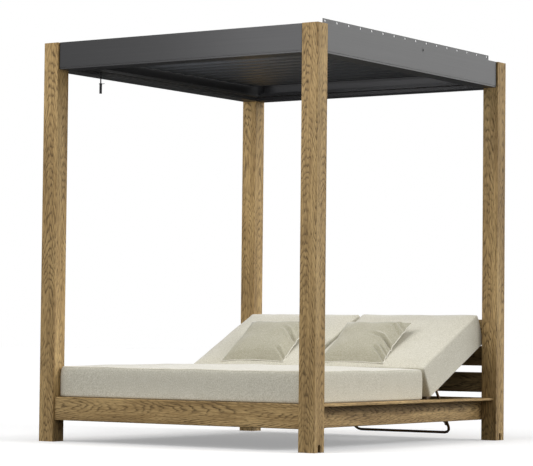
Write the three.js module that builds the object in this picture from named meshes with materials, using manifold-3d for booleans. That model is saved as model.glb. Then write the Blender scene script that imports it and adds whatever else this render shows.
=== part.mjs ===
// Outdoor daybed with a louvred canopy: four oak corner posts carry a roof of aluminium
// beams and turning louvres, and an oak bed frame with two adjustable backrests.
// Millimetres, +Z up. X runs across the bed, Y from its foot to its head, and the origin
// is on the floor under the middle of the frame.
import * as THREE from 'three';
import { mergeVertices } from 'three/addons/utils/BufferGeometryUtils.js';
import Module from 'manifold-3d';

const wasm = await Module();
wasm.setup();

// Overall sizes that drive the rest
const overall = { width: 1840, depth: 2100, height: 2250 };
const gap = 0.3;
const overrun = 5;
const ease = 3;
const half = 0.5;
const mergeTolerance = 1e-3;
const roundSides = 12;
const holeSides = 8;
const pinSides = 6;

// Bed levels above the floor and the backrest's angle as it is set
const bedTop = 250;
const backrestAngle = THREE.MathUtils.degToRad(26);

// Finishes, as read from the timber, metal and cloth
const finishes = {
  oak: { color: 0x98754b, roughness: 0.7, metalness: 0 },
  shadedOak: { color: 0x7c5f3d, roughness: 0.75, metalness: 0 },
  beamMetal: { color: 0x57585a, roughness: 0.5, metalness: 0.4 },
  louvreMetal: { color: 0x4a4b4d, roughness: 0.5, metalness: 0.4 },
  bronzeSteel: { color: 0x3a2c1b, roughness: 0.45, metalness: 0.7 },
  blackSteel: { color: 0x1c1c1d, roughness: 0.5, metalness: 0.6 },
  brass: { color: 0xa78645, roughness: 0.35, metalness: 1 },
  linen: { color: 0xb9b4a3, roughness: 0.95, metalness: 0 },
};

const post = { section: 100, boreTopSolid: 40, slotWidth: 26, slotHeight: 43 };
const downpipe = { radius: 24, wall: 2, footClearance: 45, topClearance: 8 };

const rail = { thickness: 25, bottom: 120, faceRecess: 15 };
const deck = { thickness: 15, width: 110, faceRecess: 20 };
const slat = { thickness: 18, width: 100, count: 9, endClearance: 2, firstClearance: 3 };
const batten = { width: 25, height: 25, letIn: 2 };
const bearer = { width: 44, bottom: 150 };
const hingeRail = { fromHinge: 60, thickness: 48, bottom: 150, top: 248 };

const headBoard = { thickness: 20, height: 118, spacing: 157.5, bottom: 282, fromHead: 38 };

const beam = {
  height: 153, faceRecess: 10, wall: 3, width: 110,
  lipHeight: 10, lipStep: 2, ledgeWidth: 40, ledgeRise: 20,
  gutterWallHeight: 14, gutterBackSetback: 55, gutterBackHeight: 30,
  endPlate: 6, endPlateInset: 2.5, endPlateLap: 2,
  plugAlong: 68, plugRise: 126, plugRadius: 8,
};

const louvre = {
  count: 15, rowEndClearance: 50, pivotDrop: 58,
  sideClearance: 2, lipPastChord: 8, lipThickness: 2.5, lipClearance: 1,
  top: 8, edgeDrop: 3, belly: 12, bellyBack: 28, bellyFront: 22, webInset: 6, wall: 2,
  leftInset: 150, rightInset: 80, capThickness: 4, drainRadius: 3, drainInset: 22, drainDrop: 1,
  pivotRadius: 4, drivePinRadius: 3, driveArm: 30, armWidth: 12, pinPastRail: 6, pinPastBar: 2,
};
const louvreRail = { thickness: 4, pivotCover: 11, holeClearance: 0.5 };
const driveBar = {
  thickness: 4, inset: 40, aboveBeams: 37, endFromPost: 28, endStep: 25, stepRise: 2,
  holeRadius: 8, holeDrop: 11, slotClearance: 1.4, slotEndClearance: 0.8,
  shelfDrop: 7, grooveLip: 8, grooveLipThickness: 3, grooveClearance: 1,
};

const gear = {
  teeth: 12, pitchRadius: 14, tipRadius: 15.7, rootRadius: 11.4, toothThickness: 2.2, faceWidth: 8,
  wormRadius: 6, wormCore: 3.8, wormTip: 7.9, threadThickness: 2, threadRoot: 3.2, wormTurns: 3,
  turnSteps: 10, boreClearance: 0.5,
};
const gearCase = { wall: 3, side: 26, clearance: 2.5, capGap: 2, shaftClearance: 0.5 };
const crank = {
  rodEnd: 201, collarRadius: 9.5, collarHeight: 5, barrelRadius: 7.5, barrelLength: 54,
  pinRadius: 1.6, pinReach: 28, ledgeHole: 7, wormTopPast: 3,
};

const panel = { thickness: 20, front: 14, length: 638, postClearance: 35, innerEdge: 3 };
const pivot = { fromHead: 705, z: 246 };
const hinge = {
  width: 60, knuckle: 18, barrelRadius: 6, pinRadius: 3, leaf: 3, leafHeight: 46,
  leafLength: 48, pinClearance: 0.4, endClearance: 0.6, webHalf: 5,
};
const prop = {
  tubeRadius: 8, tubeWall: 1.5, bendRadius: 38, legLength: 309.5, innerLeg: 102, outerLegInset: 33,
  pivotAlong: 185, pivotDrop: 26, endPast: 8, angle: THREE.MathUtils.degToRad(-81.05),
  tubeSides: 8, bendSteps: 3, pegDistance: 190, pegRadius: 4, pegLength: 20,
  swing: -1.871,
};
const strap = {
  thickness: 3, halfWidth: 17, earThickness: 3, earClearance: 1.2, halfLength: 13, earPast: 8,
  pinRadius: 3.5, pinClearance: 0.7,
};
const rack = {
  thickness: 5, sideClearance: 11, pegClearance: 1, notchDepth: 3.5, notchTurn: 2.3, depth: 17,
  stripTop: 225, stripHeight: 34, stripThickness: 4, hookRise: 16, hookWidth: 8,
  hookClearance: 3, tipDrop: 6, tipLength: 14, notchRaises: [-13, 0, 10, 20],
};

const cushion = {
  postClearance: 3, splitGap: 8, edgeRadius: 18, cornerRadius: 30, drawIn: 4, drawPower: 4,
};
const seat = { fromFoot: 50, fromHinge: 73, height: 172, crown: 12 };
const backCushion = { length: 716, height: 181, crown: 11, slide: 13 };
const pillow = {
  width: 448, length: 404, along: 47, seamRise: 12, topRise: 80, plump: 54, cornerDraw: 16,
  seamHalf: 3, steps: 14, leftCentre: -386, rightCentre: 304, restClearance: 0.8,
  squareness: 4, fullness: 0.75,
};

// Lengths and places worked out from the sizes above
const halfWidth = overall.width * half;
const halfDepth = overall.depth * half;
const postInnerX = halfWidth - post.section;
const postInnerY = halfDepth - post.section;
const railFaceY = halfDepth - rail.faceRecess;
const railInnerY = railFaceY - rail.thickness;
const sideRailInnerX = postInnerX - rail.thickness;
const deckOuterX = halfWidth - deck.faceRecess;
const deckInnerX = deckOuterX - deck.width;
const slatBottom = bedTop - slat.thickness;
const beamBottom = overall.height - beam.height;
const sideBeamReach = halfWidth - beam.faceRecess;
const hingeY = halfDepth - pivot.fromHead;
const hingeRailFront = hingeY - hingeRail.fromHinge;
const headBoardFace = halfDepth - headBoard.fromHead;
const panelEdge = postInnerX - panel.postClearance;
const propCentre = (prop.innerLeg + panelEdge - prop.outerLegInset) * half;
const propSpread = panelEdge - prop.outerLegInset - prop.innerLeg;
const cushionEdge = postInnerX - cushion.postClearance;
const seatFront = seat.fromFoot - halfDepth;
const seatBack = hingeY - seat.fromHinge;
const louvrePitch = ((postInnerY - louvre.rowEndClearance) * 2) / louvre.count;
const halfChord = louvrePitch * half - louvre.sideClearance;
const webSide = halfChord - louvre.webInset;
const louvreEnds = [louvre.leftInset - halfWidth, halfWidth - louvre.rightInset];
const endBeamReach = halfDepth - beam.faceRecess;
const gutterFloor = beamBottom + beam.ledgeRise + beam.wall;
const louvreAxisZ = overall.height - louvre.pivotDrop;
const railTop = louvreAxisZ + louvreRail.pivotCover;
const driveBarX = sideBeamReach - driveBar.inset - driveBar.thickness;
const driveSlope = Math.PI / 4;
const gearLouvre = 1;
const gearAxisY = (gearLouvre - (louvre.count - 1) * half) * louvrePitch;
const wormY = gearAxisY + gear.pitchRadius + gear.wormRadius;
const caseX = [louvreEnds[0] - gearCase.capGap - gearCase.side, louvreEnds[0] - gearCase.capGap];
const gearX = (caseX[0] + caseX[1]) * half;
const rightRailOuter = sideBeamReach - beam.gutterBackSetback - beam.wall - gap;
const rightRailXs = [rightRailOuter - louvreRail.thickness, rightRailOuter];
const leftRailXs = [caseX[0] - gap - louvreRail.thickness, caseX[0] - gap];
const wormLead = (2 * Math.PI * gear.pitchRadius) / gear.teeth;
const cushionLift = panel.thickness * half + gap;
const panelUnderside = -panel.thickness * half - gap;

// Turning shapes into solids, for joining and cutting
function toSolid(geometry) {
  const bare = geometry.clone();
  bare.deleteAttribute('normal');
  bare.deleteAttribute('uv');
  const merged = mergeVertices(bare, mergeTolerance);
  return new wasm.Manifold(new wasm.Mesh({
    numProp: 3,
    vertProperties: new Float32Array(merged.attributes.position.array),
    triVerts: new Uint32Array(merged.index.array),
  }));
}

function toGeometry(solid) {
  const mesh = solid.getMesh();
  const geometry = new THREE.BufferGeometry();
  geometry.setAttribute('position', new THREE.BufferAttribute(mesh.vertProperties, 3));
  geometry.setIndex(new THREE.BufferAttribute(mesh.triVerts, 1));
  geometry.computeVertexNormals();
  return geometry;
}

function join(...geometries) {
  const [first, ...rest] = geometries.map(toSolid);
  return toGeometry(rest.reduce((whole, part) => whole.add(part), first));
}

function cut(geometry, ...tools) {
  const whole = tools.map(toSolid).reduce((left, tool) => left.subtract(tool), toSolid(geometry));
  return toGeometry(whole);
}

function overlapOf(first, second) {
  return toGeometry(toSolid(first).intersect(toSolid(second)));
}

// Basic forms, placed by their lowest and highest coordinates
function block([x0, x1], [y0, y1], [z0, z1]) {
  const geometry = new THREE.BoxGeometry(x1 - x0, y1 - y0, z1 - z0);
  return geometry.translate((x0 + x1) * half, (y0 + y1) * half, (z0 + z1) * half);
}

const unitX = new THREE.Vector3(1, 0, 0);
const unitY = new THREE.Vector3(0, 1, 0);
const unitZ = new THREE.Vector3(0, 0, 1);

function shapeOf(points, holes = []) {
  const shape = new THREE.Shape(points.map(([a, b]) => new THREE.Vector2(a, b)));
  shape.holes = holes.map((hole) => new THREE.Path(hole.map(([a, b]) => new THREE.Vector2(a, b))));
  return shape;
}

function extrude(points, length, holes) {
  return new THREE.ExtrudeGeometry(shapeOf(points, holes), { depth: length, bevelEnabled: false });
}

// An outline of (y, z) points drawn out along X
function prismX(points, [x0, x1], holes) {
  const turn = new THREE.Matrix4().makeBasis(unitY, unitZ, unitX);
  return extrude(points, x1 - x0, holes).applyMatrix4(turn).translate(x0, 0, 0);
}

// An outline of (x, z) points drawn out along Y
function prismY(points, [y0, y1], holes) {
  const turn = new THREE.Matrix4().makeBasis(unitX, unitZ, unitY.clone().negate());
  return extrude(points, y1 - y0, holes).applyMatrix4(turn).translate(0, y1, 0);
}

// An outline of (x, y) points drawn out along Z
function prismZ(points, [z0, z1], holes) {
  return extrude(points, z1 - z0, holes).translate(0, 0, z0);
}

function ring(radius, [a, b] = [0, 0], sides = roundSides) {
  return Array.from({ length: sides }, (_, i) => {
    const angle = (2 * Math.PI * (i + half)) / sides;
    return [a + radius * Math.cos(angle), b + radius * Math.sin(angle)];
  });
}

const rodX = (radius, centre, span, sides) => prismX(ring(radius, centre, sides), span);
const rodZ = (radius, centre, span, sides) => prismZ(ring(radius, centre, sides), span);

// A timber section with its four long edges eased
function easedSection([a0, a1], [b0, b1]) {
  return [
    [a0 + ease, b0], [a1 - ease, b0], [a1, b0 + ease], [a1, b1 - ease],
    [a1 - ease, b1], [a0 + ease, b1], [a0, b1 - ease], [a0, b0 + ease],
  ];
}

const mirrored = (span) => [-span[1], -span[0]];
const bothSides = (reach) => [-reach, reach];

// A tube's centre line given by stations, so that the sweep's rings fall on them
class StationCurve extends THREE.Curve {
  constructor(stations) {
    super();
    this.stations = stations;
  }

  getPoint(t, target = new THREE.Vector3()) {
    const place = Math.min(Math.max(t, 0), 1) * (this.stations.length - 1);
    const index = Math.min(Math.floor(place), this.stations.length - 2);
    return target.lerpVectors(this.stations[index], this.stations[index + 1], place - index);
  }

  getUtoTmapping(u) {
    return u;
  }
}

function sweepTube(stations, radius, wall, sides) {
  const options = { steps: stations.length - 1, extrudePath: new StationCurve(stations) };
  const section = shapeOf(ring(radius, [0, 0], sides), [ring(radius - wall, [0, 0], sides)]);
  return new THREE.ExtrudeGeometry(section, options);
}

// The assembly and its nested frames
const daybed = new THREE.Group();

function add(name, geometry, finish, parent = daybed) {
  const mesh = new THREE.Mesh(geometry, new THREE.MeshStandardMaterial(finish));
  mesh.name = name;
  parent.add(mesh);
  return mesh;
}

// Corner posts: bored for the roof's drainpipes, with an arched outlet slot at the foot
function postGeometry(xSide, ySide) {
  const x = xSide > 0 ? [postInnerX, halfWidth] : [-halfWidth, -postInnerX];
  const y = ySide > 0 ? [postInnerY, halfDepth] : [-halfDepth, -postInnerY];
  const centreX = (x[0] + x[1]) * half;
  const centreY = (y[0] + y[1]) * half;
  const timber = prismZ(easedSection(x, y), [0, overall.height]);
  const bore = rodZ(downpipe.radius + gap, [centreX, centreY],
    [-overrun, overall.height - post.boreTopSolid]);
  const archRadius = post.slotWidth * half;
  const springing = post.slotHeight - archRadius;
  const arch = [[centreY - archRadius, -overrun], [centreY + archRadius, -overrun]];
  for (let i = 0; i <= roundSides * half; i += 1) {
    const angle = (2 * Math.PI * i) / roundSides;
    arch.push([centreY + archRadius * Math.cos(angle), springing + archRadius * Math.sin(angle)]);
  }
  const slotSpan = xSide > 0 ? [centreX, halfWidth + overrun] : [-halfWidth - overrun, centreX];
  return cut(timber, bore, prismX(arch, slotSpan));
}

function downpipeGeometry(xSide, ySide) {
  const centre = [xSide * (halfWidth - post.section * half), ySide * (halfDepth - post.section * half)];
  const span = [downpipe.footClearance, overall.height - post.boreTopSolid - downpipe.topClearance];
  const inside = ring(downpipe.radius - downpipe.wall, centre);
  return prismZ(ring(downpipe.radius, centre), span, [inside]);
}

const corners = [['foot_left', -1, -1], ['foot_right', 1, -1], ['head_left', -1, 1], ['head_right', 1, 1]];
corners.forEach(([place, xSide, ySide]) => {
  add(`post_${place}`, postGeometry(xSide, ySide), finishes.oak);
  add(`downpipe_${place}`, downpipeGeometry(xSide, ySide), finishes.beamMetal);
});

// Bed frame: end rails between the posts, side rails inside them under wider deck boards
const endRailSpan = bothSides(postInnerX - gap);
const railHeight = [rail.bottom, bedTop];
add('foot_rail', prismX(easedSection([-railFaceY, -railInnerY], railHeight), endRailSpan), finishes.oak);

// The head rail has a ledge inside that carries the backrests when they lie flat
const battenX = [sideRailInnerX - gap * 2 - batten.width, sideRailInnerX - gap * 2];
const headLedgeTop = pivot.z - panel.thickness * half - gap;
const headLedge = block(bothSides(battenX[0]), [railInnerY - batten.width, railInnerY + batten.letIn],
  [headLedgeTop - batten.height, headLedgeTop]);
add('head_rail', join(
  prismX(easedSection([railInnerY, railFaceY], railHeight), endRailSpan), headLedge,
), finishes.oak);

const frameSpanY = bothSides(railInnerY - gap);
const sideRailX = [sideRailInnerX - gap, postInnerX - gap];
const sideRailZ = [rail.bottom, bedTop - deck.thickness - gap];
add('side_rail_right', prismY(easedSection(sideRailX, sideRailZ), frameSpanY), finishes.oak);
add('side_rail_left', prismY(easedSection(mirrored(sideRailX), sideRailZ), frameSpanY), finishes.oak);

const deckX = [deckInnerX, deckOuterX];
const deckZ = [bedTop - deck.thickness, bedTop];
const deckSpanY = bothSides(postInnerY - gap);
add('side_deck_right', prismY(easedSection(deckX, deckZ), deckSpanY), finishes.oak);
add('side_deck_left', prismY(easedSection(mirrored(deckX), deckZ), deckSpanY), finishes.oak);

// Seat support: slats on two battens and a middle bearer, and the backrests' hinge rail
const seatSpanY = [-railInnerY + gap, hingeRailFront - gap];
const slatSpanX = bothSides(deckInnerX - slat.endClearance);
const slatStart = seatSpanY[0] + slat.firstClearance;
const slatPitch = (seatSpanY[1] - slat.firstClearance - slat.width - slatStart) / (slat.count - 1);
const battenZ = [slatBottom - batten.height, slatBottom + batten.letIn];
const slats = Array.from({ length: slat.count }, (_, i) => {
  const front = slatStart + i * slatPitch;
  return block(slatSpanX, [front, front + slat.width], [slatBottom, bedTop]);
});
add('slat_base', join(block(battenX, seatSpanY, battenZ), block(mirrored(battenX), seatSpanY, battenZ),
  ...slats), finishes.shadedOak);
const bearerX = bothSides(bearer.width * half);
add('centre_bearer', block(bearerX, seatSpanY, [bearer.bottom, slatBottom - gap]), finishes.shadedOak);

const hingeRailBack = hingeRailFront + hingeRail.thickness;
const hingeRailY = [hingeRailFront, hingeRailBack];
const hingeRailX = bothSides(sideRailInnerX - gap * 2);
const belowDeck = bedTop - deck.thickness - gap;
const deckNotch = (span) => block(span, [hingeRailY[0] - overrun, hingeRailY[1] + overrun],
  [belowDeck, hingeRail.top + overrun]);
const notchX = [deckInnerX - gap, sideRailInnerX + overrun];
add('hinge_rail', cut(
  prismX(easedSection(hingeRailY, [hingeRail.bottom, hingeRail.top]), hingeRailX),
  deckNotch(notchX), deckNotch(mirrored(notchX)),
), finishes.oak);

// Head screen: boards let in between the rear posts
const boardY = [headBoardFace, headBoardFace + headBoard.thickness];
['low', 'middle', 'top'].forEach((place, i) => {
  const low = headBoard.bottom + i * headBoard.spacing;
  const boardZ = [low, low + headBoard.height];
  add(`head_board_${place}`, prismX(easedSection(boardY, boardZ), endRailSpan), finishes.oak);
});

// Roof beams: one extrusion with a fascia, a soffit and a rain gutter inside it. The outline
// is drawn from the fascia inwards, and the ends are mitred where two beams meet.
function beamOutline() {
  const { wall } = beam;
  const bottom = beamBottom;
  const ledge = bottom + beam.ledgeRise;
  const inner = beam.width + beam.ledgeWidth;
  const back = beam.gutterBackSetback;
  const lipTop = bottom + beam.lipHeight;
  return [
    [beam.lipStep, bottom], [beam.width, bottom], [beam.width, ledge], [inner, ledge],
    [inner, ledge + beam.gutterWallHeight], [inner - wall, ledge + beam.gutterWallHeight],
    [inner - wall, gutterFloor], [back + wall, gutterFloor],
    [back + wall, gutterFloor + beam.gutterBackHeight], [back, gutterFloor + beam.gutterBackHeight],
    [back, ledge], [beam.width - wall, ledge], [beam.width - wall, bottom + wall],
    [beam.lipStep + wall, bottom + wall], [beam.lipStep + wall, lipTop + wall],
    [wall, lipTop + wall], [wall, overall.height], [0, overall.height], [0, lipTop],
    [beam.lipStep, lipTop],
  ];
}

// A beam with the plates that close its ends, set back from its faces
function beamGeometry(span, reach) {
  const corner = span * half - gap;
  const end = corner - beam.endPlate;
  const mitreStart = post.section - beam.faceRecess;
  const inner = beam.width + beam.ledgeWidth;
  const outline = beamOutline().map(([v, z]) => [v - reach, z]);
  const tip = corner - (inner + overrun - mitreStart);
  const bend = mitreStart + corner - end;
  const plan = [
    [-end - overrun, -overrun], [end + overrun, -overrun], [end + overrun, bend - overrun],
    [tip, inner + overrun], [-tip, inner + overrun], [-end - overrun, bend - overrun],
  ].map(([x, v]) => [x, v - reach]);
  const metal = overlapOf(prismX(outline, bothSides(end)),
    prismZ(plan, [beamBottom - overrun, overall.height + overrun]));
  const plateX = [end - beam.endPlateLap, corner];
  const plateY = [beam.endPlateInset - reach, mitreStart - beam.endPlateInset - reach];
  const plateZ = [beamBottom + beam.endPlateInset, overall.height - beam.endPlateInset];
  return join(metal, block(plateX, plateY, plateZ), block(mirrored(plateX), plateY, plateZ));
}

const quarterTurn = Math.PI * half;
const sideSpan = overall.depth - post.section * 2;
const endSpan = overall.width - post.section * 2;
const turned = (geometry, quarters) => geometry.rotateZ(quarters * quarterTurn);
const beamFoot = beamGeometry(endSpan, endBeamReach);
const beamHead = turned(beamGeometry(endSpan, endBeamReach), 2);
const plugHole = rodX(beam.plugRadius, [beam.plugAlong, beamBottom + beam.plugRise],
  [sideBeamReach - beam.wall - overrun, sideBeamReach + overrun]);
const beamRight = cut(turned(beamGeometry(sideSpan, sideBeamReach), 1), plugHole);
const spindleHole = rodZ(crank.ledgeHole, [gearX, wormY], [beamBottom - overrun, gutterFloor + overrun]);
const beamLeft = cut(turned(beamGeometry(sideSpan, sideBeamReach), -1), spindleHole);
add('beam_foot', beamFoot, finishes.beamMetal);
add('beam_head', beamHead, finishes.beamMetal);
add('beam_right', beamRight, finishes.beamMetal);
add('beam_left', beamLeft, finishes.beamMetal);

// Louvre rails: upright strips on the gutter floors, bored for the louvres' pivots. The right
// one carries the drive bar in a grooved shelf on its outer side.
const louvreY = Array.from({ length: louvre.count },
  (_, i) => (i - (louvre.count - 1) * half) * louvrePitch);
const railHoleRadius = louvre.pivotRadius + louvreRail.holeClearance;
const louvreRailSpan = bothSides(postInnerY - beam.endPlate - beam.endPlateLap - gap * 2);
function railHoles([x0, x1]) {
  const span = [x0 - overrun, x1 + overrun];
  return louvreY.map((y) => rodX(railHoleRadius, [y, louvreAxisZ], span, holeSides));
}
const railFoot = gutterFloor + gap;
const shelfTop = louvreAxisZ - driveBar.shelfDrop;
const shelfBottom = shelfTop - driveBar.grooveLipThickness;
const barFaces = [driveBarX, driveBarX + driveBar.thickness];
const grooveInner = barFaces[0] - driveBar.grooveClearance;
const grooveOuter = barFaces[1] + driveBar.grooveClearance;
const lipTopZ = shelfTop + driveBar.grooveLip;
const grooveLip = driveBar.grooveLipThickness;
const shelfOutline = [
  [rightRailXs[0], railFoot], [rightRailXs[1], railFoot], [rightRailXs[1], shelfBottom],
  [grooveOuter + grooveLip, shelfBottom], [grooveOuter + grooveLip, lipTopZ],
  [grooveOuter, lipTopZ], [grooveOuter, shelfTop], [grooveInner, shelfTop], [grooveInner, lipTopZ],
  [grooveInner - grooveLip, lipTopZ], [grooveInner - grooveLip, shelfTop],
  [rightRailXs[1], shelfTop], [rightRailXs[1], railTop], [rightRailXs[0], railTop],
];
add('louvre_rail_right', cut(prismY(shelfOutline, louvreRailSpan),
  ...railHoles(rightRailXs)), finishes.louvreMetal);
add('louvre_rail_left', cut(block(leftRailXs, louvreRailSpan, [railFoot, railTop]),
  ...railHoles(leftRailXs)), finishes.louvreMetal);

// Drive bar: a flat bar with a row of open holes along its top edge, and upright slots that
// take the louvres' drive pins. It slides in the groove, and the pins swing over an arc. Its
// ends are stepped, so that they pass over the posts.
const armSine = louvre.driveArm * Math.sin(driveSlope);
const slotHalf = louvre.drivePinRadius + driveBar.slotClearance;
const slotLow = armSine - louvre.drivePinRadius - driveBar.slotEndClearance;
const slotHigh = louvre.driveArm + louvre.drivePinRadius + driveBar.slotEndClearance;
const barSpanX = [barFaces[0] - overrun, barFaces[1] + overrun];
const driveSlots = louvreY.map((y) => block(barSpanX, [y + armSine - slotHalf, y + armSine + slotHalf],
  [louvreAxisZ + slotLow, louvreAxisZ + slotHigh]));
const barTop = overall.height + driveBar.aboveBeams;
const openHoles = Array.from({ length: louvre.count + 1 }, (_, i) => {
  const y = (i - louvre.count * half) * louvrePitch;
  return rodX(driveBar.holeRadius, [y, barTop - driveBar.holeDrop], barSpanX, pinSides);
});
const barReach = postInnerY - driveBar.endFromPost;
const stepY = [barReach - driveBar.endStep, barReach + overrun];
const stepZ = [shelfTop - overrun, overall.height + driveBar.stepRise];
add('drive_bar', cut(block(barFaces, bothSides(barReach), [shelfTop + gap, barTop]),
  block(barSpanX, stepY, stepZ), block(barSpanX, mirrored(stepY), stepZ),
  ...driveSlots, ...openHoles), finishes.beamMetal);

// Louvres: a hollow blade with a rain lip, and a cap with its pivot pin at each end. The
// right cap has an arm with the drive pin.
function bladeOutline() {
  const l = louvre;
  const lipLow = l.top + l.lipClearance;
  const lipTop = lipLow + l.lipThickness;
  return [
    [-halfChord, -l.edgeDrop], [-l.bellyBack, -l.belly], [l.bellyFront, -l.belly],
    [webSide, -l.edgeDrop], [webSide, lipLow], [halfChord + l.lipPastChord, lipLow],
    [halfChord + l.lipPastChord, lipTop], [webSide - l.wall, lipTop],
    [webSide - l.wall, l.top], [-halfChord, l.top],
  ];
}

function bladeHollow() {
  const l = louvre;
  const floor = l.edgeDrop - l.wall;
  return [
    [-halfChord + l.wall, -floor], [-l.bellyBack, l.wall - l.belly],
    [l.bellyFront, l.wall - l.belly], [webSide - l.wall, -floor],
    [webSide - l.wall, l.top - l.wall], [-halfChord + l.wall, l.top - l.wall],
  ];
}

// Each end is closed but for a small drain hole
function louvreGeometry() {
  const l = louvre;
  const [leftEnd, rightEnd] = louvreEnds;
  const blade = prismX(bladeOutline(), louvreEnds);
  const armY = [armSine - l.armWidth * half, armSine + l.armWidth * half];
  const arm = block([rightEnd - l.capThickness, rightEnd], armY, [0, armY[1]]);
  const fixed = l.capThickness * half;
  const rightPin = rodX(l.pivotRadius, [0, 0],
    [rightEnd - fixed, rightRailXs[1] + l.pinPastRail], pinSides);
  const leftPin = rodX(l.pivotRadius, [0, 0],
    [leftRailXs[0] - l.pinPastRail, leftEnd + fixed], pinSides);
  const drivePin = rodX(l.drivePinRadius, [armSine, armSine],
    [rightEnd - fixed, barFaces[1] + l.pinPastBar], pinSides);
  const hollow = prismX(bladeHollow(), [leftEnd + l.capThickness, rightEnd - l.capThickness]);
  const drain = rodX(l.drainRadius, [l.drainInset - halfChord, -l.drainDrop],
    [leftEnd - overrun, rightEnd + overrun], pinSides);
  return cut(join(blade, arm, rightPin, leftPin, drivePin), hollow, drain);
}

louvreY.forEach((y, i) => {
  const frame = new THREE.Group();
  frame.position.set(0, y, louvreAxisZ);
  daybed.add(frame);
  add(`louvre_${String(i + 1).padStart(2, '0')}`, louvreGeometry(), finishes.louvreMetal, frame);
});

// Crank gear: a worm on the crank's spindle turns a wheel on one louvre's pivot
function wheelGeometry() {
  const points = [];
  for (let i = 0; i < gear.teeth; i += 1) {
    const middle = ((i + half) * 2 * Math.PI) / gear.teeth;
    const corner = (radius, side) => {
      const angle = middle + (side * gear.toothThickness * half) / radius;
      points.push([radius * Math.cos(angle), radius * Math.sin(angle)]);
    };
    corner(gear.rootRadius, -1);
    corner(gear.tipRadius, -1);
    corner(gear.tipRadius, 1);
    corner(gear.rootRadius, 1);
  }
  const bore = ring(louvre.pivotRadius + gear.boreClearance, [0, 0], holeSides);
  return prismX(points, [gearX - gear.faceWidth * half, gearX + gear.faceWidth * half], [bore]);
}

// The worm's thread as a band wound round the core, one lead for each wheel tooth
function threadGeometry() {
  const steps = gear.wormTurns * gear.turnSteps;
  const positions = [];
  const index = [];
  for (let i = 0; i <= steps; i += 1) {
    const angle = (2 * Math.PI * i) / gear.turnSteps;
    const height = (wormLead * i) / gear.turnSteps;
    const corner = (radius, rise) => positions.push(
      radius * Math.cos(angle), radius * Math.sin(angle), height + rise,
    );
    corner(gear.threadRoot, 0);
    corner(gear.wormTip, 0);
    corner(gear.wormTip, gear.threadThickness);
    corner(gear.threadRoot, gear.threadThickness);
  }
  for (let i = 0; i < steps; i += 1) {
    for (let side = 0; side < 4; side += 1) {
      const a = i * 4 + side;
      const b = i * 4 + ((side + 1) % 4);
      index.push(a, b + 4, b, a, a + 4, b + 4);
    }
  }
  const last = steps * 4;
  index.push(0, 1, 2, 0, 2, 3, last, last + 2, last + 1, last, last + 3, last + 2);
  const geometry = new THREE.BufferGeometry();
  geometry.setAttribute('position', new THREE.Float32BufferAttribute(positions, 3));
  geometry.setIndex(index);
  return geometry;
}

// The spindle carries the worm and ends below in the eye that takes the crank handle. The
// thread faces a gap between two teeth when the louvres are closed.
function spindleGeometry() {
  const top = louvreAxisZ + gear.tipRadius + gearCase.clearance + gearCase.wall + crank.wormTopPast;
  const collarTop = overall.height - crank.rodEnd;
  const collarLow = collarTop - crank.collarHeight;
  const turnBack = gear.wormTurns * Math.PI;
  const threadLow = louvreAxisZ - (wormLead * gear.wormTurns + gear.threadThickness) * half;
  const thread = threadGeometry().rotateZ(-quarterTurn - turnBack)
    .translate(gearX, wormY, threadLow);
  return join(
    rodZ(gear.wormCore, [gearX, wormY], [collarLow, top], holeSides), thread,
    rodZ(crank.collarRadius, [gearX, wormY], [collarLow, collarTop]),
    rodZ(crank.barrelRadius, [gearX, wormY], [collarLow - crank.barrelLength, collarLow + gap]),
    rodX(crank.pinRadius, [wormY, collarLow + crank.pinRadius], [gearX, gearX + crank.pinReach],
      pinSides),
  );
}

function gearCaseGeometry() {
  const { wall, clearance } = gearCase;
  const insideY = [gearAxisY - gear.tipRadius - clearance, wormY + gear.wormTip + clearance];
  const reachZ = gear.tipRadius + clearance;
  const insideZ = [louvreAxisZ - reachZ, louvreAxisZ + reachZ];
  const insideX = [caseX[0] + wall, caseX[1] - wall];
  const shell = block(caseX, [insideY[0] - wall, insideY[1] + wall],
    [insideZ[0] - wall, insideZ[1] + wall]);
  const pinHole = rodX(louvre.pivotRadius + gearCase.shaftClearance, [gearAxisY, louvreAxisZ],
    [caseX[0] - overrun, caseX[1] + overrun], holeSides);
  const shaftHole = rodZ(gear.wormCore + gearCase.shaftClearance, [gearX, wormY],
    [insideZ[0] - wall - overrun, insideZ[1] + wall + overrun]);
  return cut(shell, block(insideX, insideY, insideZ), pinHole, shaftHole);
}

add('gear_case', gearCaseGeometry(), finishes.blackSteel);
add('worm_wheel', wheelGeometry().translate(0, gearAxisY, louvreAxisZ), finishes.brass);
add('crank_spindle', spindleGeometry(), finishes.blackSteel);

// Backrests. Each is built flat in a frame at the hinge pin, with +Y along the panel and +Z
// out of its face, and that frame is turned to the angle that the backrest is set at.

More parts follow.
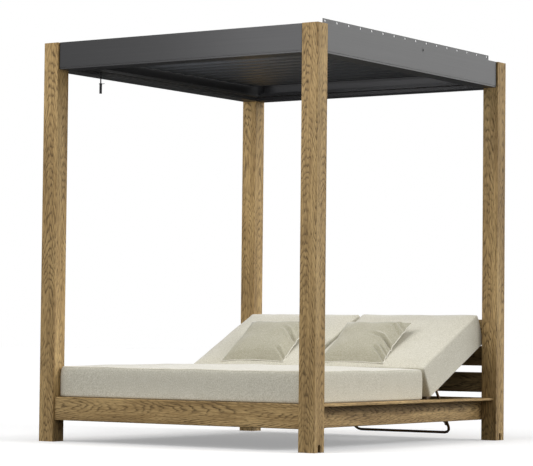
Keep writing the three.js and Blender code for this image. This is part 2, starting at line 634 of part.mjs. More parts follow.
// A steel strap under the panel: hinge knuckle and leaf, then two ears with the prop's pin
function strapGeometry(x) {
  const s = strap;
  const knuckleReach = hinge.width * half - hinge.knuckle - hinge.endClearance;
  const span = [x - knuckleReach, x + knuckleReach];
  const plateZ = [panelUnderside - s.thickness, panelUnderside];
  const webEnd = panel.front + hinge.leaf;
  const web = prismX([[0, -hinge.barrelRadius * half], [webEnd, plateZ[0]], [webEnd, plateZ[1]],
    [panel.front - hinge.endClearance, plateZ[1]], [hinge.barrelRadius * half, hinge.pinRadius]], span);
  const barrel = rodX(hinge.barrelRadius, [0, 0], span, holeSides);
  const bore = rodX(hinge.pinRadius + hinge.pinClearance, [0, 0],
    [span[0] - overrun, span[1] + overrun], holeSides);
  const leafX = [x - hinge.width * half, x + hinge.width * half];
  const leaf = block(leafX, [panel.front, panel.front + hinge.leafLength], plateZ);
  const earY = [prop.pivotAlong - s.halfLength, prop.pivotAlong + s.halfLength];
  const plate = block([x - s.halfWidth, x + s.halfWidth], [panel.front, earY[1]], plateZ);
  const inner = prop.tubeRadius + s.earClearance;
  const outer = inner + s.earThickness;
  const earZ = [-prop.pivotDrop - s.earPast, panelUnderside - s.thickness * half];
  const ears = [[x - outer, x - inner], [x + inner, x + outer]].map((earX) => block(earX, earY, earZ));
  const pin = rodX(s.pinRadius, [prop.pivotAlong, -prop.pivotDrop], [x - outer, x + outer], holeSides);
  return cut(join(web, barrel, leaf, plate, ...ears, pin), bore);
}

// The prop: one tube bent to a U, pinned to the panel, with a peg on each leg for the rack
function propGeometry(centre) {
  const reach = propSpread * half;
  const r = prop.bendRadius;
  const length = prop.legLength;
  const stations = [new THREE.Vector3(centre - reach, -prop.endPast, 0)];
  const bend = (side) => {
    const arc = [];
    for (let i = 0; i <= prop.bendSteps; i += 1) {
      const angle = (i * quarterTurn) / prop.bendSteps;
      arc.push(new THREE.Vector3(
        centre + side * (reach - r + r * Math.cos(angle)), length - r + r * Math.sin(angle), 0,
      ));
    }
    return side < 0 ? arc : arc.reverse();
  };
  stations.push(...bend(-1), ...bend(1));
  stations.push(new THREE.Vector3(centre + reach, -prop.endPast, 0));
  const tube = sweepTube(stations, prop.tubeRadius, prop.tubeWall, prop.tubeSides);
  const pegs = [-1, 1].map((side) => {
    const leg = centre + side * reach;
    const tip = leg - side * (prop.tubeRadius + prop.pegLength);
    return rodX(prop.pegRadius, [prop.pegDistance, 0], [Math.min(leg, tip), Math.max(leg, tip)],
      pinSides);
  });
  const bore = rodX(strap.pinRadius + strap.pinClearance, [0, 0],
    [centre - reach - prop.tubeRadius - overrun, centre + reach + prop.tubeRadius + overrun], holeSides);
  return cut(join(tube, ...pegs), bore);
}

// Cushions are stacked rings of a rounded rectangle: a flat base, sides drawn in between
// the corners, rolled edges and a crowned top
const edgeSteps = 4;
const cornerSteps = 4;
const sideSteps = 4;

function planRing(reachX, reachY, radius) {
  const points = [];
  const arcs = [[1, 1, 0], [-1, 1, 1], [-1, -1, 2], [1, -1, 3]];
  arcs.forEach(([sideX, sideY, quarter]) => {
    const centreX = sideX * (reachX - radius);
    const centreY = sideY * (reachY - radius);
    for (let i = 0; i <= cornerSteps; i += 1) {
      const angle = (quarter + i / cornerSteps) * quarterTurn;
      points.push([centreX + radius * Math.cos(angle), centreY + radius * Math.sin(angle)]);
    }
    const [fromX, fromY] = points[points.length - 1];
    const toX = quarter % 2 === 0 ? -fromX : fromX;
    const toY = quarter % 2 === 0 ? fromY : -fromY;
    for (let i = 1; i < sideSteps; i += 1) {
      const t = i / sideSteps;
      points.push([fromX + (toX - fromX) * t, fromY + (toY - fromY) * t]);
    }
  });
  return points;
}

function cushionGeometry(size) {
  const { width, length, height, crown } = size;
  const reachX = width * half;
  const reachY = length * half;
  const r = cushion.edgeRadius;
  const positions = [];
  const index = [];
  const crownAt = (x, y) => crown * (1 - (x / reachX) ** 2) * (1 - (y / reachY) ** 2);
  const drawnIn = (x, y, depth) => {
    const shareX = Math.abs(x / reachX);
    const shareY = Math.abs(y / reachY);
    const draw = cushion.drawIn * depth;
    const pullX = draw * (1 - shareY ** 2) * shareX ** cushion.drawPower;
    const pullY = draw * (1 - shareX ** 2) * shareY ** cushion.drawPower;
    return [x - Math.sign(x) * pullX, y - Math.sign(y) * pullY];
  };
  const levels = [];
  for (let i = 0; i <= edgeSteps; i += 1) {
    const angle = (i * quarterTurn) / edgeSteps;
    levels.push({ inset: r * (1 - Math.sin(angle)), z: r * (1 - Math.cos(angle)), depth: 0 });
  }
  levels.push({ inset: 0, z: height * half, depth: 1 });
  for (let i = edgeSteps; i >= 0; i -= 1) {
    const angle = (i * quarterTurn) / edgeSteps;
    const z = height - r * (1 - Math.cos(angle));
    levels.push({ inset: r * (1 - Math.sin(angle)), z, depth: 0 });
  }
  const crownShares = [0.3, 0.6, 0.85];
  crownShares.forEach((share) => levels.push({
    inset: r + (Math.min(reachX, reachY) - r) * share, z: height, depth: 0,
  }));
  levels.forEach(({ inset, z, depth }) => {
    const corner = Math.max(cushion.cornerRadius - inset, cushion.cornerRadius * half);
    const top = z > height * half;
    const radius = Math.min(corner, Math.min(reachX, reachY) - inset);
    planRing(reachX - inset, reachY - inset, radius).forEach(([x, y]) => {
      const [px, py] = drawnIn(x, y, depth);
      positions.push(px, py, top ? z + crownAt(px, py) : z);
    });
  });
  const count = (cornerSteps + 1) * 4 + (sideSteps - 1) * 4;
  for (let level = 0; level < levels.length - 1; level += 1) {
    for (let i = 0; i < count; i += 1) {
      const a = level * count + i;
      const b = level * count + ((i + 1) % count);
      index.push(a, b, b + count, a, b + count, a + count);
    }
  }
  const bottomMiddle = positions.length / 3;
  positions.push(0, 0, 0);
  positions.push(0, 0, height + crown);
  const topRing = (levels.length - 1) * count;
  for (let i = 0; i < count; i += 1) {
    const next = (i + 1) % count;
    index.push(bottomMiddle, next, i, bottomMiddle + 1, topRing + i, topRing + next);
  }
  const geometry = new THREE.BufferGeometry();
  geometry.setAttribute('position', new THREE.Float32BufferAttribute(positions, 3));
  geometry.setIndex(index);
  geometry.computeVertexNormals();
  return geometry;
}

// A throw pillow: two plump faces that meet in a thin seam, with its corners standing out.
// It leans on the cushion, so its under face stays clear of the cushion's crowned top.
function pillowGeometry(underLimit) {
  const reachX = pillow.width * half;
  const reachY = pillow.length * half;
  const n = pillow.steps;
  const slope = (pillow.topRise - pillow.seamRise) / pillow.length;
  const rim = [];
  const positions = [];
  const index = [];
  const fall = (share) => 1 - Math.abs(share) ** pillow.squareness;
  const plumpAt = (u, v) => pillow.plump * (fall(u) * fall(v)) ** pillow.fullness;
  for (let face = 0; face < 2; face += 1) {
    for (let j = 0; j <= n; j += 1) {
      for (let i = 0; i <= n; i += 1) {
        const u = -Math.cos((Math.PI * i) / n);
        const v = -Math.cos((Math.PI * j) / n);
        const x = u * (reachX - pillow.cornerDraw * (1 - v ** 2));
        const y = v * (reachY - pillow.cornerDraw * (1 - u ** 2));
        const seam = pillow.seamRise + slope * (y + reachY);
        const swell = pillow.seamHalf + plumpAt(u, v);
        const under = Math.max(seam - swell, underLimit(x, y) + pillow.restClearance);
        const lowest = Math.min(under, seam - pillow.seamHalf);
        positions.push(x, y, face === 0 ? lowest : seam + swell);
      }
    }
  }
  const at = (face, i, j) => face * (n + 1) ** 2 + j * (n + 1) + i;
  for (let j = 0; j < n; j += 1) {
    for (let i = 0; i < n; i += 1) {
      index.push(at(1, i, j), at(1, i + 1, j), at(1, i + 1, j + 1));
      index.push(at(1, i, j), at(1, i + 1, j + 1), at(1, i, j + 1));
      index.push(at(0, i, j), at(0, i + 1, j + 1), at(0, i + 1, j));
      index.push(at(0, i, j), at(0, i, j + 1), at(0, i + 1, j + 1));
    }
  }
  for (let i = 0; i < n; i += 1) rim.push([[i, 0], [i + 1, 0]]);
  for (let j = 0; j < n; j += 1) rim.push([[n, j], [n, j + 1]]);
  for (let i = n; i > 0; i -= 1) rim.push([[i, n], [i - 1, n]]);
  for (let j = n; j > 0; j -= 1) rim.push([[0, j], [0, j - 1]]);
  rim.forEach(([p, q]) => {
    index.push(at(0, ...p), at(0, ...q), at(1, ...q), at(0, ...p), at(1, ...q), at(1, ...p));
  });
  const geometry = new THREE.BufferGeometry();
  geometry.setAttribute('position', new THREE.Float32BufferAttribute(positions, 3));
  geometry.setIndex(index);
  geometry.computeVertexNormals();
  return geometry;
}

const seatSize = {
  width: cushionEdge * 2, length: seatBack - seatFront, height: seat.height, crown: seat.crown,
};
add('seat_mattress', cushionGeometry(seatSize).translate(0, (seatFront + seatBack) * half,
  bedTop + gap), finishes.linen);

const backSize = {
  width: cushionEdge - cushion.splitGap * half,
  length: backCushion.length, height: backCushion.height, crown: backCushion.crown,
};
const backCentreX = cushion.splitGap * half + backSize.width * half;
const backCentreY = backCushion.slide + backSize.length * half;

function cushionTopAt(x, y) {
  const shareX = 1 - ((x - backCentreX) / (backSize.width * half)) ** 2;
  const shareY = 1 - ((y - backCentreY) / (backSize.length * half)) ** 2;
  return backSize.crown * Math.max(shareX, 0) * Math.max(shareY, 0);
}

function addBackrest(side, sideName, pillowCentre) {
  const frame = new THREE.Group();
  frame.position.set(0, hingeY, pivot.z);
  frame.rotation.x = backrestAngle;
  daybed.add(frame);

  const panelX = side > 0 ? [panel.innerEdge, panelEdge] : [-panelEdge, -panel.innerEdge];
  const panelZ = bothSides(panel.thickness * half);
  const panelY = [panel.front, panel.front + panel.length];
  add(`backrest_panel_${sideName}`, prismY(easedSection(panelX, panelZ), panelY), finishes.oak, frame);

  const centre = side * propCentre;
  const legs = bothSides(propSpread * half).map((reach) => centre + reach);
  ['a', 'b'].forEach((letter, i) => {
    add(`hinge_strap_${sideName}_${letter}`, strapGeometry(legs[i]), finishes.bronzeSteel, frame);
  });

  const propFrame = new THREE.Group();
  propFrame.position.set(0, prop.pivotAlong, -prop.pivotDrop);
  propFrame.rotation.x = prop.angle;
  frame.add(propFrame);
  add(`prop_${sideName}`, propGeometry(centre), finishes.bronzeSteel, propFrame);

  const back = cushionGeometry(backSize).translate(side * backCentreX, backCentreY, cushionLift);
  add(`back_cushion_${sideName}`, back, finishes.linen, frame);

  const pillowY = pillow.along + pillow.length * half;
  const underLimit = (x, y) => cushionTopAt(side * (x + pillowCentre), y + pillowY);
  const throwPillow = pillowGeometry(underLimit);
  throwPillow.translate(pillowCentre, pillowY, cushionLift + backSize.height);
  add(`pillow_${sideName}`, throwPillow, finishes.linen, frame);
}

addBackrest(-1, 'left', pillow.leftCentre);
addBackrest(1, 'right', pillow.rightCentre);

// Where a prop's peg stands when its backrest is raised by an angle from where it is set
function pegAt(raise) {
  const tilt = backrestAngle + raise;
  const pinY = hingeY + prop.pivotAlong * Math.cos(tilt) + prop.pivotDrop * Math.sin(tilt);
  const pinZ = pivot.z + prop.pivotAlong * Math.sin(tilt) - prop.pivotDrop * Math.cos(tilt);
  const leg = prop.angle + prop.swing * raise + tilt;
  return [pinY + prop.pegDistance * Math.cos(leg), pinZ + prop.pegDistance * Math.sin(leg)];
}

const rackStart = hingeRailBack + gap;

// A rack arm's outline: its upper edge runs just under the peg's way, with a notch for each
// raised place, and ends in a hook behind the place where the peg lies with the bed flat
function rackOutline() {
  const edgeAt = (raise, sink) => {
    const [y, z] = pegAt(raise);
    return [y, z - prop.pegRadius - rack.pegClearance - sink];
  };
  const turn = THREE.MathUtils.degToRad(rack.notchTurn);
  const raises = rack.notchRaises.map((raise) => THREE.MathUtils.degToRad(raise));
  const notches = raises.flatMap((raise) => [
    edgeAt(raise - turn, 0), edgeAt(raise, rack.notchDepth), edgeAt(raise + turn, 0),
  ]);
  const [endY, endZ] = edgeAt(-backrestAngle, 0);
  const hookY = endY + prop.pegRadius + rack.hookClearance;
  const under = raises.slice().reverse().map((raise) => edgeAt(raise, rack.notchDepth + rack.depth));
  return [
    [hookY + rack.hookWidth, endZ + rack.hookRise], [hookY, endZ + rack.hookRise], [hookY, endZ],
    [endY, endZ], ...notches, [rackStart, rack.stripTop], [rackStart, rack.stripTop - rack.stripHeight],
    ...under, [endY - rack.tipLength, endZ - rack.depth - rack.notchDepth],
    [endY, endZ - rack.depth - rack.tipDrop], [hookY + rack.hookWidth, endZ - rack.hookWidth],
  ];
}

// The fixed half of a hinge: leaf, two knuckles and the pin that they hold
function fixedHingeGeometries(x) {
  const low = x - hinge.width * half;
  const high = x + hinge.width * half;
  const leafZ = [hingeRail.top - hinge.leafHeight, pivot.z + hinge.webHalf];
  const webZ = [pivot.z - hinge.webHalf, pivot.z + hinge.webHalf];
  const leaf = block([low, high], [rackStart, rackStart + hinge.leaf], leafZ);
  const knuckles = [[low, low + hinge.knuckle], [high - hinge.knuckle, high]].flatMap((span) => [
    block(span, [rackStart, hingeY], webZ),
    rodX(hinge.barrelRadius, [hingeY, pivot.z], span, holeSides),
  ]);
  return [leaf, ...knuckles, rodX(hinge.pinRadius, [hingeY, pivot.z], [low, high], holeSides)];
}

// Rack: two notched arms on a strip across the hinge rail, with the backrest's two hinges
function rackGeometry(side) {
  const legs = bothSides(propSpread * half).map((reach) => side * propCentre + reach);
  const inset = prop.tubeRadius + rack.sideClearance;
  const armSpans = [
    [legs[0] + inset, legs[0] + inset + rack.thickness],
    [legs[1] - inset - rack.thickness, legs[1] - inset],
  ];
  const strip = block([armSpans[0][0], armSpans[1][1]], [rackStart, rackStart + rack.stripThickness],
    [rack.stripTop - rack.stripHeight, rack.stripTop]);
  const arms = armSpans.map((span) => prismX(rackOutline(), span));
  return join(strip, ...arms, ...legs.flatMap(fixedHingeGeometries));
}

add('rack_left', rackGeometry(-1), finishes.bronzeSteel);
add('rack_right', rackGeometry(1), finishes.bronzeSteel);

export default daybed;
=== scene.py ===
"""Looks of an outdoor daybed with a louvred canopy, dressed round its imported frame.

Metres, +Z up. X runs across the bed, Y from its foot to its head, and the origin is on the
floor under the middle of the frame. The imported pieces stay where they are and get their
finishes here. The cushions and pillows are sewn and puffed up here, and take the place of
the plain ones.
"""

from __future__ import annotations

import logging
import math
from collections.abc import Callable
from dataclasses import dataclass, field
from enum import Enum
from functools import partial

import bpy  # noqa: E402
import numpy as np  # noqa: E402
from mathutils import Matrix, Vector  # noqa: E402


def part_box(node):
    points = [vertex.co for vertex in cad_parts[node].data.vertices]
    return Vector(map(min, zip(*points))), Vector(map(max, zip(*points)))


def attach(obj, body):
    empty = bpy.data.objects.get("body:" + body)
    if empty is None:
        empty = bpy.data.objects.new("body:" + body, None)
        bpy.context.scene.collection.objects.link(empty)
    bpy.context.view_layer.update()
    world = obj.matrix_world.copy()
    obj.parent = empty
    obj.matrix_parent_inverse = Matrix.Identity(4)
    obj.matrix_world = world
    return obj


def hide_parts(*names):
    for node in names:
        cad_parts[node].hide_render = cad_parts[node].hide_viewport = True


log = logging.getLogger("daybed")

MM = 0.001
# Corners closer than this are one, and an edge turns at least this far to be rounded
WELD_REACH = 1e-5
SHARP_DEG = 28
# A ripple's waves: the turn from each to the next in radians, their number and their reach
GOLDEN_ANGLE = 2.399963
RIPPLE_WAVES = 6
RIPPLE_REACH = 3.4

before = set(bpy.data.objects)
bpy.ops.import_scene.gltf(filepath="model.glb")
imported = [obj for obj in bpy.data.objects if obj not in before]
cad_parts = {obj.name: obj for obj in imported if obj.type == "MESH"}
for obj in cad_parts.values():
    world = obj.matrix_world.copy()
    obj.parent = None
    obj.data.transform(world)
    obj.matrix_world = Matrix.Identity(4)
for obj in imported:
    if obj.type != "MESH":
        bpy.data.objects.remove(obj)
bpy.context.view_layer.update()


class Grain(Enum):
    """The axis that a board's fibres run along, as (along, first side, second side)."""

    ACROSS = ("X", "Y", "Z")
    LENGTHWAYS = ("Y", "X", "Z")
    UPRIGHT = ("Z", "X", "Y")


def linear(code: str) -> tuple[float, float, float, float]:
    """Turns an sRGB hex colour to the linear one that a shader takes.

    Args:
        code: The colour as "#rrggbb".

    Returns:
        Linear red, green, blue, and an alpha of one.
    """
    parts = [int(code[i : i + 2], 16) / 255 for i in (1, 3, 5)]
    red, green, blue = (
        p / 12.92 if p <= 0.04045 else ((p + 0.055) / 1.055) ** 2.4 for p in parts
    )
    return red, green, blue, 1.0


def set_sockets(tree: bpy.types.NodeTree, node: bpy.types.Node, values: dict) -> None:
    """Sets a node's inputs.

    Args:
        tree: The node tree that it is in.
        node: The node.
        values: Socket name or number to a value, or to the output that feeds it.
    """
    for key, value in values.items():
        if isinstance(value, bpy.types.NodeSocket):
            tree.links.new(value, node.inputs[key])
        else:
            node.inputs[key].default_value = value


def add_node(
    tree: bpy.types.NodeTree,
    kind: str,
    inputs: dict | None = None,
    output: int | str = 0,
    **settings: object,
) -> bpy.types.NodeSocket:
    """Adds one node with its settings and links.

    Args:
        tree: The node tree that takes it.
        kind: Blender's name of the node type, after "ShaderNode".
        inputs: Socket name or number to a value, or to the output that feeds it.
        output: The output that is wanted.
        **settings: Properties of the node.

    Returns:
        That output of the new node.
    """
    made = tree.nodes.new(f"ShaderNode{kind}")
    for name, value in settings.items():
        setattr(made, name, value)
    set_sockets(tree, made, inputs or {})
    return made.outputs[output]


def set_stops(
    ramp: bpy.types.NodeSocket, stops: list[tuple[float, str | float]]
) -> bpy.types.NodeSocket:
    """Gives a colour ramp its stops.

    Args:
        ramp: The colour ramp's output.
        stops: Each place from 0 to 1 with a hex colour, or with a grey value.

    Returns:
        The same output.
    """
    elements = ramp.node.color_ramp.elements
    while len(elements) < len(stops):
        elements.new(1.0)
    for element, (place, colour) in zip(elements, stops):
        element.position = place
        element.color = linear(colour) if isinstance(colour, str) else (colour,) * 3 + (1.0,)
    return ramp


def uneven(
    tree: bpy.types.NodeTree,
    places: bpy.types.NodeSocket,
    size_mm: tuple[float, float, float],
    detail: float,
) -> bpy.types.NodeSocket:
    """An uneven pattern of a real size, which all the finishes below are drawn with.

    Args:
        tree: The node tree.
        places: Where the surface is, in metres.
        size_mm: The size of the pattern's spots along each axis, in millimetres.
        detail: How much finer unevenness lies on the spots.

    Returns:
        A value from 0 to 1.
    """
    per_metre = tuple(1 / (size * MM) for size in size_mm)
    cells = add_node(tree, "VectorMath", {0: places, 1: per_metre}, operation="MULTIPLY")
    return add_node(tree, "TexNoise", {"Vector": cells, "Scale": 1.0, "Detail": detail}, "Fac")


def new_material(name: str) -> tuple[bpy.types.Material, bpy.types.NodeTree, bpy.types.Node]:
    """Makes a material with a plain surface shader.

    Args:
        name: The material's name.

    Returns:
        The material, its node tree and the surface shader.
    """
    material = bpy.data.materials.new(name)
    material.use_nodes = True
    tree = material.node_tree
    return material, tree, tree.nodes["Principled BSDF"]


@dataclass(frozen=True)
class BoardCut:
    """How a board was cut from its log.

    The pith is the log's middle, given from the board's own middle in metres along the
    grain's two side axes. Taper is how fast the rings close in along the board, which draws
    them as arches, and drift is how far the log wanders on its way. Bore is the radius of
    the hole along its middle, inside which the oak gets a near-black painted shade.
    """

    grain: Grain
    pith: tuple[float, float]
    taper: float = 0.1
    seed: float = 0.0
    drift: float = 0.03
    bore: float = 0.0


@dataclass(frozen=True)
class OiledOak:
    """Brushed and oiled European oak, sawn and planed: a warm grey tan with darker growth
    rings in arches, long dark streaks of pores, and a soft, nearly matt surface."""

    pale: str = "#d4b47c"
    tan: str = "#b2925e"
    brown: str = "#8c7045"
    ring: str = "#513d22"
    pore: str = "#3c2b15"
    # Near-black painted shade inside a post's bore, where the hole is dark
    painted_bore_shade: str = "#0e0a07"
    roughness: float = 0.62
    # Oak's rings are often 2 to 4 mm apart, and are drawn wider so that they show
    ring_mm: float = 7.2
    # Real pores are 0.3 mm wide and too fine for the picture, so they are drawn coarser
    pore_mm: tuple[float, float] = (3.6, 40.0)
    streak_mm: tuple[float, float] = (7.0, 150.0)
    tone_mm: tuple[float, float] = (60.0, 620.0)
    warp_mm: tuple[float, float] = (30.0, 170.0)
    ruffle_mm: tuple[float, float] = (7.0, 46.0)
    strength_mm: tuple[float, float] = (26.0, 330.0)
    drift_mm: float = 520.0
    warp_reach: float = 0.016
    ruffle_reach: float = 0.007
    streak_share: float = 0.5
    fleck_share: float = 0.34
    ring_share: float = 0.8
    pore_share: float = 0.75
    pore_rough: float = 0.2
    relief: float = 0.9 * MM

    def material(self, name: str, cut: BoardCut, centre: Vector) -> bpy.types.Material:
        """Makes the oak of one board.

        Args:
            name: The board's name.
            cut: How the board was cut.
            centre: The middle of the board in the row frame.

        Returns:
            The board's own material.
        """
        material, tree, surface = new_material(f"oiled_oak_{name}")
        add = partial(add_node, tree)
        places = add("TexCoord", output="Object")
        local = add("VectorMath", {0: places, 1: centre}, operation="SUBTRACT")
        axes = add("SeparateXYZ", {0: local}).node.outputs
        along, first, second = (axes[a] for a in cut.grain.value)
        board = add("CombineXYZ", {0: first, 1: second, 2: along})
        start = (cut.seed, cut.seed * 1.7, cut.seed * 2.3)
        shifted = add("VectorMath", {0: board, 1: start}, operation="ADD")

        def grained(size_mm: tuple[float, float], detail: float) -> bpy.types.NodeSocket:
            """An uneven pattern with one size across the grain and another along it."""
            return uneven(tree, shifted, (size_mm[0], *size_mm), detail)

        rings = self.rings(tree, cut, (along, first, second), grained)
        # A ring starts with a dark line and fades out towards the next
        ring = set_stops(
            add("ValToRGB", {0: add("Math", {0: rings}, operation="FRACT")}),
            [(0.0, 0.35), (0.06, 1.0), (0.16, 0.8), (0.42, 0.12), (0.85, 0.0), (1.0, 0.35)],
        )
        # Some rings are strong and others hardly show, and the tone drifts along the board
        strength, pores, colour, streak = (
            set_stops(add("ValToRGB", {0: grained(size_mm, detail)}), stops)
            for size_mm, detail, stops in (
                (self.strength_mm, 1.0, [(0.36, 0.15), (0.62, 1.0)]),
                (self.pore_mm, 1.5, [(0.34, 1.0), (0.50, 0.0)]),
                (self.tone_mm, 2.5, [(0.30, self.brown), (0.47, self.tan), (0.70, self.pale)]),
                (self.streak_mm, 2.5, [(0.36, 0.0), (0.64, 1.0)]),
            )
        )
        ring_mask = add("Math", {0: ring, 1: strength}, operation="MULTIPLY")
        # Between the dark lines of the rings the pores show half as strongly
        crowded = add("Math", {0: ring, 1: 0.5, 2: 0.5}, operation="MULTIPLY_ADD")
        pore_mask = add("Math", {0: pores, 1: crowded}, operation="MULTIPLY")
        between = {0: streak, 1: -self.streak_share, 2: self.streak_share}
        layers = [
            (add("Math", between, operation="MULTIPLY_ADD"), self.brown),
            (add("Math", {0: streak, 1: self.fleck_share}, operation="MULTIPLY"), self.pale),
            (add("Math", {0: ring_mask, 1: self.ring_share}, operation="MULTIPLY"), self.ring),
            (add("Math", {0: pore_mask, 1: self.pore_share}, operation="MULTIPLY"), self.pore),
        ]
        # Inside the bore the oak gets the near-black painted shade of the hole
        if cut.bore:
            flat = add("CombineXYZ", {0: first, 1: second})
            away = add("VectorMath", {0: flat}, "Value", operation="LENGTH")
            inside = add("Math", {0: away, 1: cut.bore}, operation="LESS_THAN")
            layers.append((inside, self.painted_bore_shade))
        for share, tint in layers:
            colour = add("Mix", {0: share, 6: colour, 7: linear(tint)}, 2, data_type="RGBA")
        sunk = add("Math", {0: ring_mask, 1: 0.5}, operation="MULTIPLY")
        sunk = add("Math", {0: pore_mask, 1: sunk}, operation="ADD")
        height = add("Math", {0: 1.0, 1: sunk}, operation="SUBTRACT")
        rough = {0: pore_mask, 1: self.pore_rough, 2: self.roughness}
        set_sockets(tree, surface, {
            "Base Color": colour,
            "Roughness": add("Math", rough, operation="MULTIPLY_ADD"),
            "Normal": add("Bump", {"Height": height, "Distance": self.relief, "Strength": 0.5}),
            "IOR": 1.5,
            "Specular IOR Level": 0.35,
        })
        return material

    def rings(
        self,
        tree: bpy.types.NodeTree,
        cut: BoardCut,
        axes: tuple[bpy.types.NodeSocket, bpy.types.NodeSocket, bpy.types.NodeSocket],
        grained: Callable[[tuple[float, float], float], bpy.types.NodeSocket],
    ) -> bpy.types.NodeSocket:
        """Counts the growth rings out from the pith.

        Args:
            tree: The node tree.
            cut: How the board was cut.
            axes: The place along the grain, and along its two side axes.
            grained: Makes an uneven pattern that runs with the grain.

        Returns:
            The number of rings, with its fraction.
        """
        add = partial(add_node, tree)
        along, first, second = axes
        turns = add("Math", {0: along, 1: self.drift_mm * MM}, operation="DIVIDE")
        turns = add("Math", {0: turns, 1: cut.seed}, operation="ADD")
        drift = add(
            "TexNoise", {"W": turns, "Scale": 1.0, "Detail": 1.0}, "Fac", noise_dimensions="1D"
        )
        wander = add("Math", {0: drift, 1: 0.5}, operation="SUBTRACT")
        wander = add("Math", {0: wander, 1: cut.drift}, operation="MULTIPLY")
        shift = add("Math", {0: along, 1: cut.taper, 2: wander}, operation="MULTIPLY_ADD")
        squares = []
        for axis, pith in zip((first, second), cut.pith):
            away = add("Math", {0: axis, 1: pith}, operation="SUBTRACT")
            squares.append(add("Math", {0: away, 1: away}, operation="MULTIPLY"))
        reach = add("Math", dict(enumerate(squares)), operation="ADD")
        reach = add("Math", {0: add("Math", {0: reach}, operation="SQRT"), 1: shift}, operation="ADD")
        bends = []
        for size_mm, most in ((self.warp_mm, self.warp_reach), (self.ruffle_mm, self.ruffle_reach)):
            bend = add("Math", {0: grained(size_mm, 2.0), 1: 0.5}, operation="SUBTRACT")
            bends.append(add("Math", {0: bend, 1: most}, operation="MULTIPLY"))
        bent = add("Math", dict(enumerate(bends)), operation="ADD")
        bent = add("Math", {0: reach, 1: bent}, operation="ADD")
        return add("Math", {0: bent, 1: self.ring_mm * MM}, operation="DIVIDE")


@dataclass(frozen=True)
class PowderCoat:
    """Polyester powder coat on extruded aluminium: an even dark grey with a fine grain like
    orange peel, a soft sheen, and faint lines along the extrusion."""

    name: str
    colour: str
    streak: str
    roughness: float = 0.42
    metallic: float = 0.45
    # The real grain is about 0.3 mm, and is drawn coarser so that it shows
    grain_mm: float = 3.0
    streak_mm: tuple[float, float, float] = (900.0, 900.0, 7.0)
    streak_share: float = 0.65
    rough_range: float = 0.16
    relief: float = 0.3 * MM
    # The axis that a beam's end plates lie along, and how far out they start. They are near-black,
    # partly as the plates' own colour and partly as painted shade in the gap at the posts
    plate_black_and_gap_shade: tuple[str, float] | None = None
    plate_and_gap_shade: str = "#0b0b0c"

    def material(self) -> bpy.types.Material:
        """Makes the coat.

        Returns:
            The material.
        """
        material, tree, surface = new_material(self.name)
        add = partial(add_node, tree)
        places = add("TexCoord", output="Object")
        streaks = uneven(tree, places, self.streak_mm, 2.0)
        grain = uneven(tree, places, (self.grain_mm,) * 3, 1.0)
        parts = [
            add("Math", {0: pattern, 1: share}, operation="MULTIPLY")
            for pattern, share in ((streaks, self.streak_share), (grain, 1 - self.streak_share))
        ]
        mottle = add("Math", dict(enumerate(parts)), operation="ADD")
        tones = {0: mottle, 6: linear(self.colour), 7: linear(self.streak)}
        colour = add("Mix", tones, 2, data_type="RGBA")
        # Past the plate's start the beam is painted near-black: its end plate, and painted shade in
        # the gap at the post
        if self.plate_black_and_gap_shade:
            axis, start = self.plate_black_and_gap_shade
            far = add("SeparateXYZ", {0: places}, axis)
            far = add("Math", {0: far}, operation="ABSOLUTE")
            black = add("Math", {0: far, 1: start}, operation="GREATER_THAN")
            colour = add("Mix", {0: black, 6: colour, 7: linear(self.plate_and_gap_shade)}, 2, data_type="RGBA")
        rough = {0: grain, 1: self.rough_range, 2: self.roughness - self.rough_range / 2}
        set_sockets(tree, surface, {
            "Base Color": colour,
            "Roughness": add("Math", rough, operation="MULTIPLY_ADD"),
            "Normal": add("Bump", {"Height": grain, "Distance": self.relief, "Strength": 0.35}),
            "Metallic": self.metallic,
        })
        return material


@dataclass(frozen=True)
class BareMetal:
    """A bare or thinly coated metal part, turned, bent or cut: one tone with cloudy wear, and
    a shine that breaks up where it has been handled."""

    name: str
    colour: str
    worn: str
    roughness: float
    metallic: float
    cloud_mm: float = 14.0
    # Tool marks are about 0.1 mm apart, and are drawn coarser so that they show
    mark_mm: float = 1.2
    worn_shine: float = 0.12
    relief: float = 0.2 * MM

    def material(self) -> bpy.types.Material:
        """Makes the metal.

        Returns:
            The material.
        """
        material, tree, surface = new_material(self.name)
        add = partial(add_node, tree)
        places = add("TexCoord", output="Object")
        cloud = uneven(tree, places, (self.cloud_mm,) * 3, 4.0)
        marks = uneven(tree, places, (self.mark_mm,) * 3, 2.0)
        wear = set_stops(add("ValToRGB", {0: cloud}), [(0.42, 0.0), (0.7, 1.0)])
        tones = {0: wear, 6: linear(self.colour), 7: linear(self.worn)}
        rough = {0: wear, 1: -self.worn_shine, 2: self.roughness}
        set_sockets(tree, surface, {
            "Base Color": add("Mix", tones, 2, data_type="RGBA"),
            "Roughness": add("Math", rough, operation="MULTIPLY_ADD"),
            "Normal": add("Bump", {"Height": marks, "Distance": self.relief, "Strength": 0.3}),
            "Metallic": self.metallic,
        })
        return material


